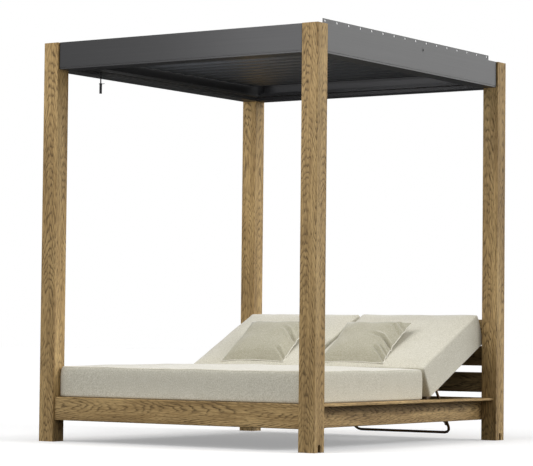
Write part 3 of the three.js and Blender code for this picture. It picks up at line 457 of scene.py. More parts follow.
@dataclass(frozen=True)
class WovenAcrylic:
    """Solution-dyed acrylic cloth in a plain weave, with pale and darker yarns twisted
    together: a warm off-white that looks finely speckled, with a soft matt surface."""

    name: str = "woven_acrylic"
    base: str = "#ddd9ca"
    pale_yarn: str = "#eeebe0"
    dark_yarn: str = "#b3ae9a"
    roughness: float = 0.9
    sheen: float = 0.7
    sheen_roughness: float = 0.35
    # Real threads are 0.6 mm apart, and are drawn 5 mm apart so that they show
    thread_mm: float = 5.0
    slub_mm: tuple[float, float] = (5.5, 26.0)
    speckle_mm: float = 5.2
    cloud_mm: float = 60.0
    cloud_share: float = 0.08
    pale_share: float = 0.6
    dark_share: float = 0.7
    relief: float = 0.6 * MM

    def material(self) -> bpy.types.Material:
        """Makes the cloth.

        Returns:
            The material.
        """
        material, tree, surface = new_material(self.name)
        add = partial(add_node, tree)
        places = add("TexCoord", output="Object")
        thin, long = self.slub_mm
        slubs = [uneven(tree, places, size, 2.0) for size in ((long, thin, thin), (thin, long, thin))]
        yarn = add("Math", dict(enumerate(slubs)), operation="ADD")
        yarn = add("Math", {0: yarn, 1: 0.5}, operation="MULTIPLY")
        pale = set_stops(add("ValToRGB", {0: yarn}), [(0.5, 0.0), (0.66, 1.0)])
        speckle = uneven(tree, places, (self.speckle_mm,) * 3, 2.0)
        speckle = add("Math", {0: speckle, 1: 1 - self.cloud_share}, operation="MULTIPLY")
        cloud = uneven(tree, places, (self.cloud_mm,) * 3, 2.0)
        cloudy = {0: cloud, 1: self.cloud_share, 2: speckle}
        spots = add("Math", cloudy, operation="MULTIPLY_ADD")
        dark = set_stops(add("ValToRGB", {0: spots}), [(0.34, 1.0), (0.66, 0.0)])
        pale = add("Math", {0: pale, 1: self.pale_share}, operation="MULTIPLY")
        tones = {0: pale, 6: linear(self.base), 7: linear(self.pale_yarn)}
        colour = add("Mix", tones, 2, data_type="RGBA")
        dark = add("Math", {0: dark, 1: self.dark_share}, operation="MULTIPLY")
        colour = add("Mix", {0: dark, 6: colour, 7: linear(self.dark_yarn)}, 2, data_type="RGBA")
        raised = add("Math", {0: yarn, 1: 1.4}, operation="MULTIPLY")
        weave = {0: self.weave(tree, places), 1: 0.25, 2: raised}
        height = add("Math", weave, operation="MULTIPLY_ADD")
        set_sockets(tree, surface, {
            "Base Color": colour,
            "Normal": add("Bump", {"Height": height, "Distance": self.relief, "Strength": 0.55}),
            "Roughness": self.roughness,
            "Sheen Weight": self.sheen,
            "Sheen Roughness": self.sheen_roughness,
            "Specular IOR Level": 0.2,
        })
        return material

    def weave(
        self, tree: bpy.types.NodeTree, places: bpy.types.NodeSocket
    ) -> bpy.types.NodeSocket:
        """Crosses the threads over and under each other on every side of a piece.

        Args:
            tree: The node tree.
            places: Where the surface is, in metres.

        Returns:
            The height of the weave.
        """
        add = partial(add_node, tree)
        axes = add("SeparateXYZ", {0: places}).node.outputs
        turn = 2 * math.pi / (self.thread_mm * MM)
        across, ahead, up = (
            add("Math", {0: add("Math", {0: axes[axis], 1: turn}, operation="MULTIPLY")},
                operation="SINE")
            for axis in "XYZ"
        )
        level = add("Math", {0: across, 1: ahead}, operation="MULTIPLY")
        either = add("Math", {0: across, 1: ahead}, operation="ADD")
        upright = add("Math", {0: up, 1: either}, operation="MULTIPLY")
        return add("Math", {0: level, 1: upright}, operation="ADD")


def dress(name: str, material: bpy.types.Material) -> None:
    """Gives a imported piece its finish.

    Args:
        name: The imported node's name.
        material: Its finish.
    """
    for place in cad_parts[name].material_slots:
        place.material = material


def soften_edges(name: str, width: float) -> None:
    """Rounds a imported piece's edges with modifiers, which leave its mesh as it is.

    Args:
        name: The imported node's name.
        width: The width of the rounding in metres.
    """
    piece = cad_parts[name]
    weld = piece.modifiers.new("joined_corners", "WELD")
    weld.merge_threshold = WELD_REACH
    bevel = piece.modifiers.new("rounded_edges", "BEVEL")
    bevel.width = width
    bevel.segments = 2
    bevel.limit_method = "ANGLE"
    bevel.angle_limit = math.radians(SHARP_DEG)


def middle_of(name: str) -> Vector:
    """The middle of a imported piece's box."""
    low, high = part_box(name)
    return (low + high) / 2


@dataclass
class OakFrame:
    """Posts, rails, deck boards, slats and head boards."""

    oak: OiledOak = field(default_factory=OiledOak)
    # The head boards would be the same oak as the rest. In the photo they stand in a shade
    # that the lamps here don't give, so theirs is darker.
    shaded_oak: OiledOak = field(
        default_factory=lambda: OiledOak(
            pale="#b9a173", tan="#9a8158", brown="#79623f", ring="#473520", pore="#342714"
        )
    )
    shaded: tuple[str, ...] = ("head_board_low", "head_board_middle", "head_board_top")
    edge: float = 1.6 * MM
    cuts: dict[str, BoardCut] = field(
        default_factory=lambda: {
            "post_foot_right": BoardCut(Grain.UPRIGHT, (-0.012, 0.02), 0.16, 3.1, bore=0.0255),
            "post_foot_left": BoardCut(Grain.UPRIGHT, (0.006, 0.016), 0.13, 7.7, bore=0.0255),
            "post_head_left": BoardCut(Grain.UPRIGHT, (-0.014, 0.012), 0.12, 12.9, bore=0.0255),
            "post_head_right": BoardCut(Grain.UPRIGHT, (-0.018, 0.014), 0.11, 17.3, bore=0.0255),
            "foot_rail": BoardCut(Grain.ACROSS, (0.05, 0.018), 0.1, 21.4),
            "head_rail": BoardCut(Grain.ACROSS, (-0.06, 0.0), 0.1, 26.2),
            "side_rail_right": BoardCut(Grain.LENGTHWAYS, (-0.05, 0.01), 0.1, 31.8),
            "side_rail_left": BoardCut(Grain.LENGTHWAYS, (0.05, 0.01), -0.1, 36.5),
            "side_deck_right": BoardCut(Grain.LENGTHWAYS, (0.01, -0.07), 0.08, 41.1),
            "side_deck_left": BoardCut(Grain.LENGTHWAYS, (0.0, -0.07), 0.08, 46.9),
            "hinge_rail": BoardCut(Grain.ACROSS, (0.05, 0.01), 0.08, 51.3),
            "head_board_low": BoardCut(Grain.ACROSS, (0.06, 0.0), 0.09, 56.6),
            "head_board_middle": BoardCut(Grain.ACROSS, (0.06, 0.01), -0.09, 61.2),
            "head_board_top": BoardCut(Grain.ACROSS, (0.06, -0.01), 0.09, 66.8),
            "slat_base": BoardCut(Grain.ACROSS, (0.0, -0.09), 0.08, 71.5),
            "centre_bearer": BoardCut(Grain.LENGTHWAYS, (0.05, 0.0), 0.08, 76.1),
        }
    )

    def dress(self) -> None:
        """Gives each timber its own piece of oak and eased edges."""
        for name, cut in self.cuts.items():
            oak = self.shaded_oak if name in self.shaded else self.oak
            dress(name, oak.material(name, cut, middle_of(name)))
            soften_edges(name, self.edge)
            log.info("oak: %s", name)


@dataclass
class RoofBeams:
    """The four coated beams, their near-black end plates, partly painted shade of the post gaps, and
    the drainpipes.
    """

    # The beams would all have one coat. The lamps here don't shade them as the photo does,
    # so each has its own grey.
    shades: dict[str, tuple[str, str]] = field(
        default_factory=lambda: {
            "beam_foot": ("#343435", "#3f3f40"),
            "beam_head": ("#202022", "#29292b"),
            "beam_right": ("#484848", "#565656"),
            "beam_left": ("#464646", "#525252"),
        }
    )
    edge: float = 0.6 * MM
    plate_start: dict[str, tuple[str, float]] = field(
        default_factory=lambda: {
            "beam_foot": ("X", 0.8137),
            "beam_head": ("X", 0.8137),
            "beam_right": ("Y", 0.9437),
            "beam_left": ("Y", 0.9437),
        }
    )

    def dress(self) -> None:
        """Coats the beams and the pipes."""
        for name, joint in self.plate_start.items():
            coat = PowderCoat(f"powder_coat_{name}", *self.shades[name], plate_black_and_gap_shade=joint)
            dress(name, coat.material())
            soften_edges(name, self.edge)
            log.info("coated: %s", name)
        pipe = BareMetal("drawn_aluminium_pipe", "#8d8f92", "#a3a5a8", 0.45, 0.9).material()
        for corner in ("foot_left", "foot_right", "head_left", "head_right"):
            dress(f"downpipe_{corner}", pipe)


@dataclass
class LouvreRoof:
    """The louvres, their rails and the bar that drives them."""

    count: int = 15

    def dress(self) -> None:
        """Coats the louvres, the rails and the drive bar."""
        blade = PowderCoat(
            "powder_coat_louvre", "#4c4e52", "#5a5d62", roughness=0.38, streak_mm=(900.0, 7.0, 7.0)
        ).material()
        for number in range(1, self.count + 1):
            dress(f"louvre_{number:02d}", blade)
        rail = PowderCoat("powder_coat_louvre_rail", "#303030", "#393939").material()
        dress("louvre_rail_right", rail)
        dress("louvre_rail_left", rail)
        bar = PowderCoat("powder_coat_drive_bar", "#4a4a4a", "#565656").material()
        dress("drive_bar", bar)
        log.info("coated: %d louvres, rails and drive bar", self.count)


@dataclass
class CrankDrive:
    """The gear case, its wheel and the spindle that hangs below the left beam."""

    def dress(self) -> None:
        """Gives the crank's pieces their metals."""
        black = BareMetal("blackened_steel", "#141415", "#26262a", 0.42, 0.7).material()
        brass = BareMetal("turned_brass", "#a78645", "#c2a15c", 0.34, 1.0).material()
        dress("crank_spindle", black)
        dress("gear_case", black)
        dress("worm_wheel", brass)
        log.info("metal: crank drive")


@dataclass
class BackrestGear:
    """Backrest panels, their hinges, the props and the racks."""

    # A darker copy of the frame's oak, as painted shade on the panels under the cushions
    oak: OiledOak = field(
        default_factory=lambda: OiledOak(
            pale="#6d5a41", tan="#584733", brown="#453626", ring="#33271a", pore="#281e14"
        )
    )
    edge: float = 1.2 * MM

    def dress(self) -> None:
        """Gives panels and steel their finishes."""
        steel = BareMetal("bronzed_steel", "#5a4229", "#8c683d", 0.42, 0.55, cloud_mm=9.0).material()
        for side, seed in (("left", 81.3), ("right", 86.7)):
            panel = f"backrest_panel_{side}"
            cut = BoardCut(Grain.ACROSS, (0.0, -0.08), 0.08, seed)
            dress(panel, self.oak.material(panel, cut, middle_of(panel)))
            soften_edges(panel, self.edge)
            for letter in "ab":
                dress(f"hinge_strap_{side}_{letter}", steel)
            dress(f"prop_{side}", steel)
            dress(f"rack_{side}", steel)
            log.info("backrest gear: %s", side)


def smoothstep(t: np.ndarray) -> np.ndarray:
    """Eases a share from 0 to 1."""
    t = np.clip(t, 0, 1)
    return t * t * (3 - 2 * t)


def ripple(points: np.ndarray, wave: float, seed: float) -> np.ndarray:
    """A smooth, unevenly wavy value from about -1 to 1 at each point.

    Args:
        points: Places in metres, one row each.
        wave: The waves' length in metres.
        seed: Where in the pattern to start.

    Returns:
        One value for each point.
    """
    total = np.zeros(len(points))
    for k in range(RIPPLE_WAVES):
        angle = seed + GOLDEN_ANGLE * k
        slope = 0.6 * math.sin(1.7 * k + seed)
        direction = np.array([math.cos(angle), math.sin(angle), slope])
        pace = 2 * math.pi / (wave * (0.75 + 0.13 * k))
        total += np.sin(points @ direction * pace + 1.3 * k + seed)
    return total / RIPPLE_REACH


def mesh_object(name: str, points: np.ndarray, faces: list[tuple[int, ...]]) -> bpy.types.Object:
    """Makes a smooth-shaded mesh object.

    Args:
        name: The object's name.
        points: Corner places in metres.
        faces: The corners of each face.

    Returns:
        The new object, linked to the scene.
    """
    mesh = bpy.data.meshes.new(name)
    mesh.from_pydata([tuple(p) for p in points], [], faces)
    mesh.shade_smooth()
    made = bpy.data.objects.new(name, mesh)
    bpy.context.scene.collection.objects.link(made)
    return made


def points_of(piece: bpy.types.Object) -> np.ndarray:
    """Reads the places of a mesh's corners.

    Args:
        piece: The mesh object, as made or as its modifiers leave it.

    Returns:
        The places in metres, one row each.
    """
    flat = np.zeros(len(piece.data.vertices) * 3, np.float32)
    piece.data.vertices.foreach_get("co", flat)
    return flat.reshape(-1, 3).astype(float)


def set_points(piece: bpy.types.Object, points: np.ndarray) -> None:
    """Moves a mesh's corners to new places in metres, one row each."""
    piece.data.vertices.foreach_set("co", points.astype(np.float32).ravel())
    piece.data.update()


@dataclass(frozen=True)
class Puff:
    """How a closed cover is blown up from inside as cloth. The values are the cloth
    simulation's own, and the frames are how long the cloth has to settle."""

    pressure: float
    bending: float
    mass: float = 0.35
    tension: float = 18
    compression: float = 12
    shear: float = 8
    quality: int = 6
    frames: int = 20

    def blow_up(self, piece: bpy.types.Object, cap: np.ndarray) -> None:
        """Blows the cover up and keeps the result.

        Args:
            piece: The closed mesh.
            cap: How far each corner may move, in metres.
        """
        start = points_of(piece)
        cloth = piece.modifiers.new("cover", "CLOTH")
        settings = cloth.settings
        settings.quality = self.quality
        settings.mass = self.mass
        settings.tension_stiffness = self.tension
        settings.compression_stiffness = self.compression
        settings.shear_stiffness = self.shear
        settings.bending_stiffness = self.bending
        settings.use_pressure = True
        settings.uniform_pressure_force = self.pressure
        settings.effector_weights.gravity = 0
        cloth.point_cache.frame_start = 1
        cloth.point_cache.frame_end = self.frames
        scene = bpy.context.scene
        for number in range(1, self.frames + 1):
            scene.frame_set(number)
        moved = points_of(piece.evaluated_get(bpy.context.evaluated_depsgraph_get())) - start
        piece.modifiers.remove(cloth)
        scene.frame_set(1)
        length = np.maximum(np.linalg.norm(moved, axis=1), 1e-9)
        share = np.minimum(1.0, cap / length)
        set_points(piece, start + moved * share[:, None])


def rim_of(columns: int, rows: int) -> list[tuple[int, int]]:
    """Walks once round the edge of a grid.

    Args:
        columns: How many fields the grid has across.
        rows: How many it has ahead.

    Returns:
        The grid corners in order, as column and row.
    """
    there = [(i, 0) for i in range(columns)] + [(columns, j) for j in range(rows)]
    back = [(i, rows) for i in range(columns, 0, -1)] + [(0, j) for j in range(rows, 0, -1)]
    return there + back


def tube_along(
    line: np.ndarray, radius: float, sides: int = 6
) -> tuple[np.ndarray, list[tuple[int, ...]]]:
    """Makes a closed tube round a closed line of points, for piping and seams.

    Args:
        line: The line's points in metres, in order.
        radius: The tube's radius in metres.
        sides: How many sides it has.

    Returns:
        The tube's points and faces.
    """
    count = len(line)
    ahead = np.roll(line, -1, axis=0) - np.roll(line, 1, axis=0)
    ahead /= np.linalg.norm(ahead, axis=1)[:, None]
    up = np.tile(np.array([0.0, 0.0, 1.0]), (count, 1))
    steep = np.abs((ahead * up).sum(axis=1)) > 0.9
    up[steep] = (1.0, 0.0, 0.0)
    first = np.cross(ahead, up)
    first /= np.linalg.norm(first, axis=1)[:, None]
    second = np.cross(first, ahead)
    points = []
    for side in range(sides):
        angle = 2 * math.pi * side / sides
        points.append(line + radius * (math.cos(angle) * first + math.sin(angle) * second))
    faces = []
    for side in range(sides):
        after = (side + 1) % sides
        for i in range(count):
            j = (i + 1) % count
            faces.append((side * count + i, after * count + i, after * count + j, side * count + j))
    return np.concatenate(points), faces


def add_tubes(piece: bpy.types.Object, lines: list[np.ndarray], radius: float) -> None:
    """Adds tubes to a piece's mesh, behind the corners and faces that it has.

    Args:
        piece: The mesh object.
        lines: The closed line of each tube.
        radius: The tubes' radius in metres.
    """
    mesh = piece.data
    corners = [tuple(v.co) for v in mesh.vertices]
    polygons = [tuple(p.vertices) for p in mesh.polygons]
    for line in lines:
        tube, faces = tube_along(line, radius)
        shift = len(corners)
        corners += [tuple(p) for p in tube]
        polygons += [tuple(shift + v for v in face) for face in faces]
    mesh.clear_geometry()
    mesh.from_pydata(corners, [], polygons)
    mesh.shade_smooth()


def smooth_cover(piece: bpy.types.Object) -> None:
    """Divides a cover's faces once more, so that it looks smooth."""
    divide = piece.modifiers.new("fine_cover", "SUBSURF")
    divide.levels = divide.render_levels = 1


@dataclass
class BoxCushion:
    """A foam cushion in a boxed cover: crowned top, rolled edges, sides that draw in between
    the corners, and a sewn seam round the top and the bottom edge. Lengths are in metres."""

    name: str
    node: str
    body: str
    width: float
    length: float
    height: float
    crown: float
    place: Matrix
    grid: float = 0.024
    edge: float = 0.018
    edge_steps: int = 3
    draw_in: float = 0.004
    # How near its side a place has to be to be drawn in: more is nearer
    draw_power: int = 4
    shrink: float = 0.0015
    head_lean: float = 0.0
    lean_power: int = 6
    # How flat the crown stays towards the edges: 2 is a dome, and more is a plateau
    crown_power: int = 2
    puff: Puff = Puff(pressure=4.0, bending=1.2)
    # Where the soft top starts and over how much it blends in, in shares of the height
    top_start: float = 0.72
    top_blend: float = 0.25
    top_cap: float = 0.007
    side_cap: float = 0.0025
    still_foot: float = 0.02
    seam_radius: float = 0.0021
    seed: float = 0.0
    waviness: float = 0.0016
    short_share: float = 0.5
    side_share: float = 0.6
    broad_wave: float = 0.31
    short_wave: float = 0.13
    side_wave: float = 0.22
    even_foot: float = 0.03

    def axis_places(self, reach: float) -> np.ndarray:
        """Lays the grid along one axis, closer together where the edge is rolled.

        Args:
            reach: Half of the box's size along the axis.

        Returns:
            The grid's places.
        """
        inner = reach - self.edge
        count = max(2, round(2 * inner / self.grid))
        middle = np.linspace(-inner, inner, count + 1)
        turns = np.tan(np.linspace(0, math.pi / 4, self.edge_steps + 1))[1:] * self.edge
        return np.concatenate([-inner - turns[::-1], middle, inner + turns])

    def shell(self) -> tuple[np.ndarray, list[tuple[int, ...]], list[list[int]]]:
        """Makes the cover as a rounded box of quads.

        Returns:
            Its points, its faces, and the corner numbers along the bottom and top seams.
        """
        reaches = [self.width / 2 - self.shrink, self.length / 2 - self.shrink, self.height / 2]
        axes = [self.axis_places(reach) for reach in reaches]
        last = [len(places) - 1 for places in axes]
        keys: dict[tuple[int, ...], int] = {}
        points: list[tuple[float, ...]] = []

        def corner(side: int, level: int, i: int, j: int) -> int:
            """Finds the number of a grid corner, which is made when it is first asked for.

            Args:
                side: The axis that the corner's side lies across.
                level: Where the side is on that axis.
                i: The corner's place along the first of the other two axes.
                j: Its place along the second.

            Returns:
                The corner's number.
            """
            steps = [i, j]
            steps.insert(side, level)
            key = tuple(steps)
            if key not in keys:
                keys[key] = len(points)
                points.append(tuple(places[step] for places, step in zip(axes, key)))
            return keys[key]

        faces: list[tuple[int, ...]] = []
        left_round = ((0, 0), (0, 1), (1, 1), (1, 0))
        right_round = ((0, 0), (1, 0), (1, 1), (0, 1))
        turns = {2: (left_round, right_round), 1: (right_round, left_round)}
        turns[0] = turns[2]
        for side, (low_turn, high_turn) in turns.items():
            first, second = (axis for axis in range(3) if axis != side)
            for i in range(last[first]):
                for j in range(last[second]):
                    for level, turn in ((0, low_turn), (last[side], high_turn)):
                        faces.append(tuple(corner(side, level, i + a, j + b) for a, b in turn))
        flat = np.array(points)
        core = np.clip(flat, -(np.array(reaches) - self.edge), np.array(reaches) - self.edge)
        out = flat - core
        size = np.linalg.norm(out, axis=1)
        out[size > 0] *= (self.edge / size[size > 0])[:, None]
        rim = rim_of(last[0], last[1])
        loops = [[corner(2, level, i, j) for i, j in rim] for level in (0, last[2])]
        return core + out, faces, loops

    def shape(self, points: np.ndarray) -> np.ndarray:
        """Crowns the top, draws the sides in and stands the box on its base.

        Args:
            points: The rounded box's points.

        Returns:
            The shaped points.
        """
        share_x = points[:, 0] / (self.width / 2)
        share_y = points[:, 1] / (self.length / 2)
        share_z = points[:, 2] / (self.height / 2)
        belly = 1 - share_z**2
        pull_x = self.draw_in * belly * (1 - share_y**2) * np.abs(share_x) ** self.draw_power
        pull_y = self.draw_in * belly * (1 - share_x**2) * np.abs(share_y) ** self.draw_power
        dome = np.clip(1 - share_x**self.crown_power, 0, 1)
        dome *= np.clip(1 - share_y**self.crown_power, 0, 1)
        rise = smoothstep((share_z + 1) / 2)
        shaped = points.copy()
        shaped[:, 0] -= np.sign(points[:, 0]) * pull_x
        shaped[:, 1] -= np.sign(points[:, 1]) * pull_y
        shaped[:, 2] += self.height / 2 + self.crown * dome * rise
        shaped[:, 1] += self.head_lean * rise * np.clip(share_y, 0, 1) ** self.lean_power
        return shaped

    def build(self, cloth: bpy.types.Material) -> bpy.types.Object:
        """Sews the cover, puffs it up and puts it on its body.

        Args:
            cloth: The cover's cloth.

        Returns:
            The cushion.
        """
        points, faces, loops = self.shell()
        start = self.shape(points)
        piece = mesh_object(self.name, start, faces)
        upper = smoothstep((start[:, 2] / self.height - self.top_start) / self.top_blend)
        cap = self.side_cap + (self.top_cap - self.side_cap) * upper
        cap *= smoothstep(start[:, 2] / self.still_foot)
        self.puff.blow_up(piece, cap)
        now = self.waved(start, points_of(piece), upper)
        set_points(piece, now)
        smooth_cover(piece)
        piece.data.materials.append(cloth)
        low, high = (now[loop] for loop in loops)
        add_tubes(piece, [low + np.array([0, 0, self.seam_radius]), high], self.seam_radius)
        piece.data.transform(self.place)
        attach(piece, self.body)
        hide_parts(self.node)
        log.info("cushion: %s, %d corners", self.name, len(now))
        return piece

    def waved(self, start: np.ndarray, now: np.ndarray, upper: np.ndarray) -> np.ndarray:
        """Makes the puffed cover a little uneven, which the simulation doesn't do.

        Args:
            start: The points before the cover was puffed up.
            now: The points after it.
            upper: How far each point belongs to the soft top, from 0 to 1.

        Returns:
            The uneven points.
        """
        lift = ripple(now, self.broad_wave, self.seed)
        lift += self.short_share * ripple(now, self.short_wave, self.seed + 2)
        now[:, 2] += self.waviness * lift * upper
        swing = ripple(now, self.side_wave, self.seed + 4) * (1 - upper)
        outward = np.zeros_like(now)
        for axis, size in enumerate((self.width, self.length)):
            at_side = np.abs(start[:, axis]) > size / 2 - self.edge
            outward[:, axis] = np.sign(now[:, axis]) * at_side
        reach = self.waviness * self.side_share * swing * smoothstep(now[:, 2] / self.even_foot)
        now += outward * reach[:, None]
        now[:, 2] = np.maximum(now[:, 2], 0.0)
        return now


@dataclass(frozen=True)
class Crease:
    """A fold in a pillow's cover, from one place to another in shares of its half sizes."""

    start: tuple[float, float]
    end: tuple[float, float]
    depth: float
    width: float


@dataclass
class ThrowPillow:
    """A scatter pillow: two plump faces with a piped edge, and folds that run in from it.
    Lengths are in metres."""

    name: str
    node: str
    body: str
    centre_x: float
    cushion_centre_x: float
    place: Matrix
    creases: tuple[Crease, ...]
    width: float = 0.448
    length: float = 0.404
    seam_rise: float = 0.012
    top_rise: float = 0.08
    plump: float = 0.054
    corner_draw: float = 0.016
    seam_half: float = 0.0024
    steps: int = 76
    puff: Puff = Puff(pressure=5.0, bending=0.3)
    cap: float = 0.006
    piping_radius: float = 0.0032
    along: float = 0.047
    # The crowned cushion it lies on: width, length and crown
    cushion_size: tuple[float, float, float] = (0.813, 0.716, 0.013)
    cushion_slide: float = 0.013
    crown_power: int = 8
    seed: float = 0.0
    # Puckers along the seam, broad dents in the faces, and the seam's own waves: wave, height
    pucker: tuple[float, float] = (0.034, 0.0016)
    dent: tuple[float, float] = (0.15, 0.0022)
    seam_wave: tuple[float, float] = (0.09, 0.0015)
    crease_bow: float = 0.04

    def under_limit(self, x: np.ndarray, y: np.ndarray) -> np.ndarray:
        """The height of the crowned cushion under the pillow, from the cushion's edge.

        Args:
            x: Places across the pillow, from its middle.
            y: Places ahead along it.

        Returns:
            The height at each place.
        """
        width, length, crown = self.cushion_size
        across = (x + self.centre_x - self.cushion_centre_x) / (width / 2)
        along = (y + self.along + self.length / 2 - self.cushion_slide - length / 2) / (length / 2)
        power = self.crown_power
        return crown * np.clip(1 - across**power, 0, 1) * np.clip(1 - along**power, 0, 1)

    def shell(self) -> tuple[np.ndarray, list[tuple[int, ...]], list[int], np.ndarray]:
        """Makes both faces of the cover, joined along the seam.

        Returns:
            Its points, its faces, the corners along the seam, and each point's shares.
        """
        n = self.steps
        even = np.linspace(-1, 1, n + 1)
        turns = (even + np.sin(even * np.pi / 2)) / 2
        u, v = np.meshgrid(turns, turns)
        x = u * (self.width / 2 - self.corner_draw * (1 - v**2))
        y = v * (self.length / 2 - self.corner_draw * (1 - u**2))
        seam = self.seam_rise + (self.top_rise - self.seam_rise) * (y / self.length + 0.5)
        swell = self.seam_half + self.plump * ((1 - u**4) * (1 - v**4)) ** 0.75
        under = np.maximum(seam - swell, self.under_limit(x, y) + 3 * MM)
        low = np.minimum(under, seam - self.seam_half)
        points, shares = [], []
        for face, z in ((-1, low), (1, seam + swell)):
            points.append(np.stack([x, y, z], -1).reshape(-1, 3))
            shares.append(np.stack([u, v, np.full_like(u, face)], -1).reshape(-1, 3))
        row = n + 1

        def at(face: int, i: int, j: int) -> int:
            """The number of a corner on the lower or the upper face."""
            return face * row * row + j * row + i

        faces = []
        for j in range(n):
            for i in range(n):
                faces.append((at(1, i, j), at(1, i + 1, j), at(1, i + 1, j + 1), at(1, i, j + 1)))
                faces.append((at(0, i, j), at(0, i, j + 1), at(0, i + 1, j + 1), at(0, i + 1, j)))
        rim = rim_of(n, n)
        for place, after in zip(rim, rim[1:] + rim[:1]):
            faces.append((at(0, *place), at(0, *after), at(1, *after), at(1, *place)))
        return np.concatenate(points), faces, [at(1, *p) for p in rim], np.concatenate(shares)

    def crease_heights(self, shares: np.ndarray) -> np.ndarray:
        """Finds how far the folds push each point out.

        Args:
            shares: The points' places in shares of the half sizes.

        Returns:
            The heights in metres, below zero where a fold runs in.
        """
        total = np.zeros(len(shares))
        scale = np.array([self.width / 2, self.length / 2])
        flat = shares[:, :2] * scale
        for crease in self.creases:
            start = np.array(crease.start) * scale
            direction = np.array(crease.end) * scale - start
            length = np.linalg.norm(direction)
            direction /= length
            away = flat - start
            t = away @ direction / length
            across = away[:, 0] * -direction[1] + away[:, 1] * direction[0]
            bow = self.crease_bow * length * np.sin(np.pi * np.clip(t, 0, 1))
            side = (across - bow) / crease.width
            along = smoothstep(t / 0.45) * smoothstep((1.25 - t) / 0.3)
            # A valley with a high ridge on one side and a low one on the other
            ridges = 0.75 * np.exp(-((side - 1.5) ** 2)) - np.exp(-(side**2))
            ridges += 0.5 * np.exp(-((side + 1.6) ** 2))
            total += crease.depth * along * ridges
        return total

    def build(
        self, cloth: bpy.types.Material, piping_cloth: bpy.types.Material
    ) -> bpy.types.Object:
        """Sews the pillow, puffs it up, folds it and puts it on its body.

        Args:
            cloth: The cover's cloth.
            piping_cloth: The cloth of its piped edge.

        Returns:
            The pillow.
        """
        points, faces, rim, shares = self.shell()
        piece = mesh_object(self.name, points, faces)
        away = 1 - np.maximum(np.abs(shares[:, 0]), np.abs(shares[:, 1]))
        self.puff.blow_up(piece, self.cap * smoothstep(away / 0.12 + 0.15))
        lower_rim = [corner - (self.steps + 1) ** 2 for corner in rim]
        now = self.folded(points_of(piece), shares, away, rim + lower_rim)
        set_points(piece, now)
        add_tubes(piece, [(now[rim] + now[lower_rim]) / 2], self.piping_radius)
        smooth_cover(piece)
        piece.data.materials.append(cloth)
        piece.data.materials.append(piping_cloth)
        for polygon in piece.data.polygons[len(faces) :]:
            polygon.material_index = 1
        piece.data.transform(self.place)
        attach(piece, self.body)
        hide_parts(self.node)
        log.info("pillow: %s, %d corners", self.name, len(now))
        return piece

    def folded(
        self, now: np.ndarray, shares: np.ndarray, away: np.ndarray, seam: list[int]
    ) -> np.ndarray:
        """Draws the folds, dents and puckers on the puffed cover, and keeps it off its cushion.

        Args:
            now: The points of the puffed cover.
            shares: The points' places in shares of the half sizes.
            away: How far each is from the seam, in the same shares.
            seam: The corners along the seam.

        Returns:
            The folded points.
        """
        puckers = ripple(now * np.array([1.0, 1.0, 0.3]), self.pucker[0], self.seed)
        puckers *= np.exp(-away / 0.09)
        dents = ripple(now, self.dent[0], self.seed + 3) * smoothstep(away / 0.3)
        uneven_height = self.pucker[1] * puckers + self.dent[1] * dents
        lift = self.crease_heights(shares) + uneven_height * smoothstep(away / 0.04)
        upper = shares[:, 2] > 0
        now[upper, 2] += lift[upper]
        limit = self.under_limit(now[:, 0], now[:, 1])
        ridge = self.seam_wave[1] * ripple(now, self.seam_wave[0], self.seed + 6)
        now[seam, 2] += ridge[seam]
        now[:, 2] = np.maximum(now[:, 2], limit + 1.5 * MM)
        return now


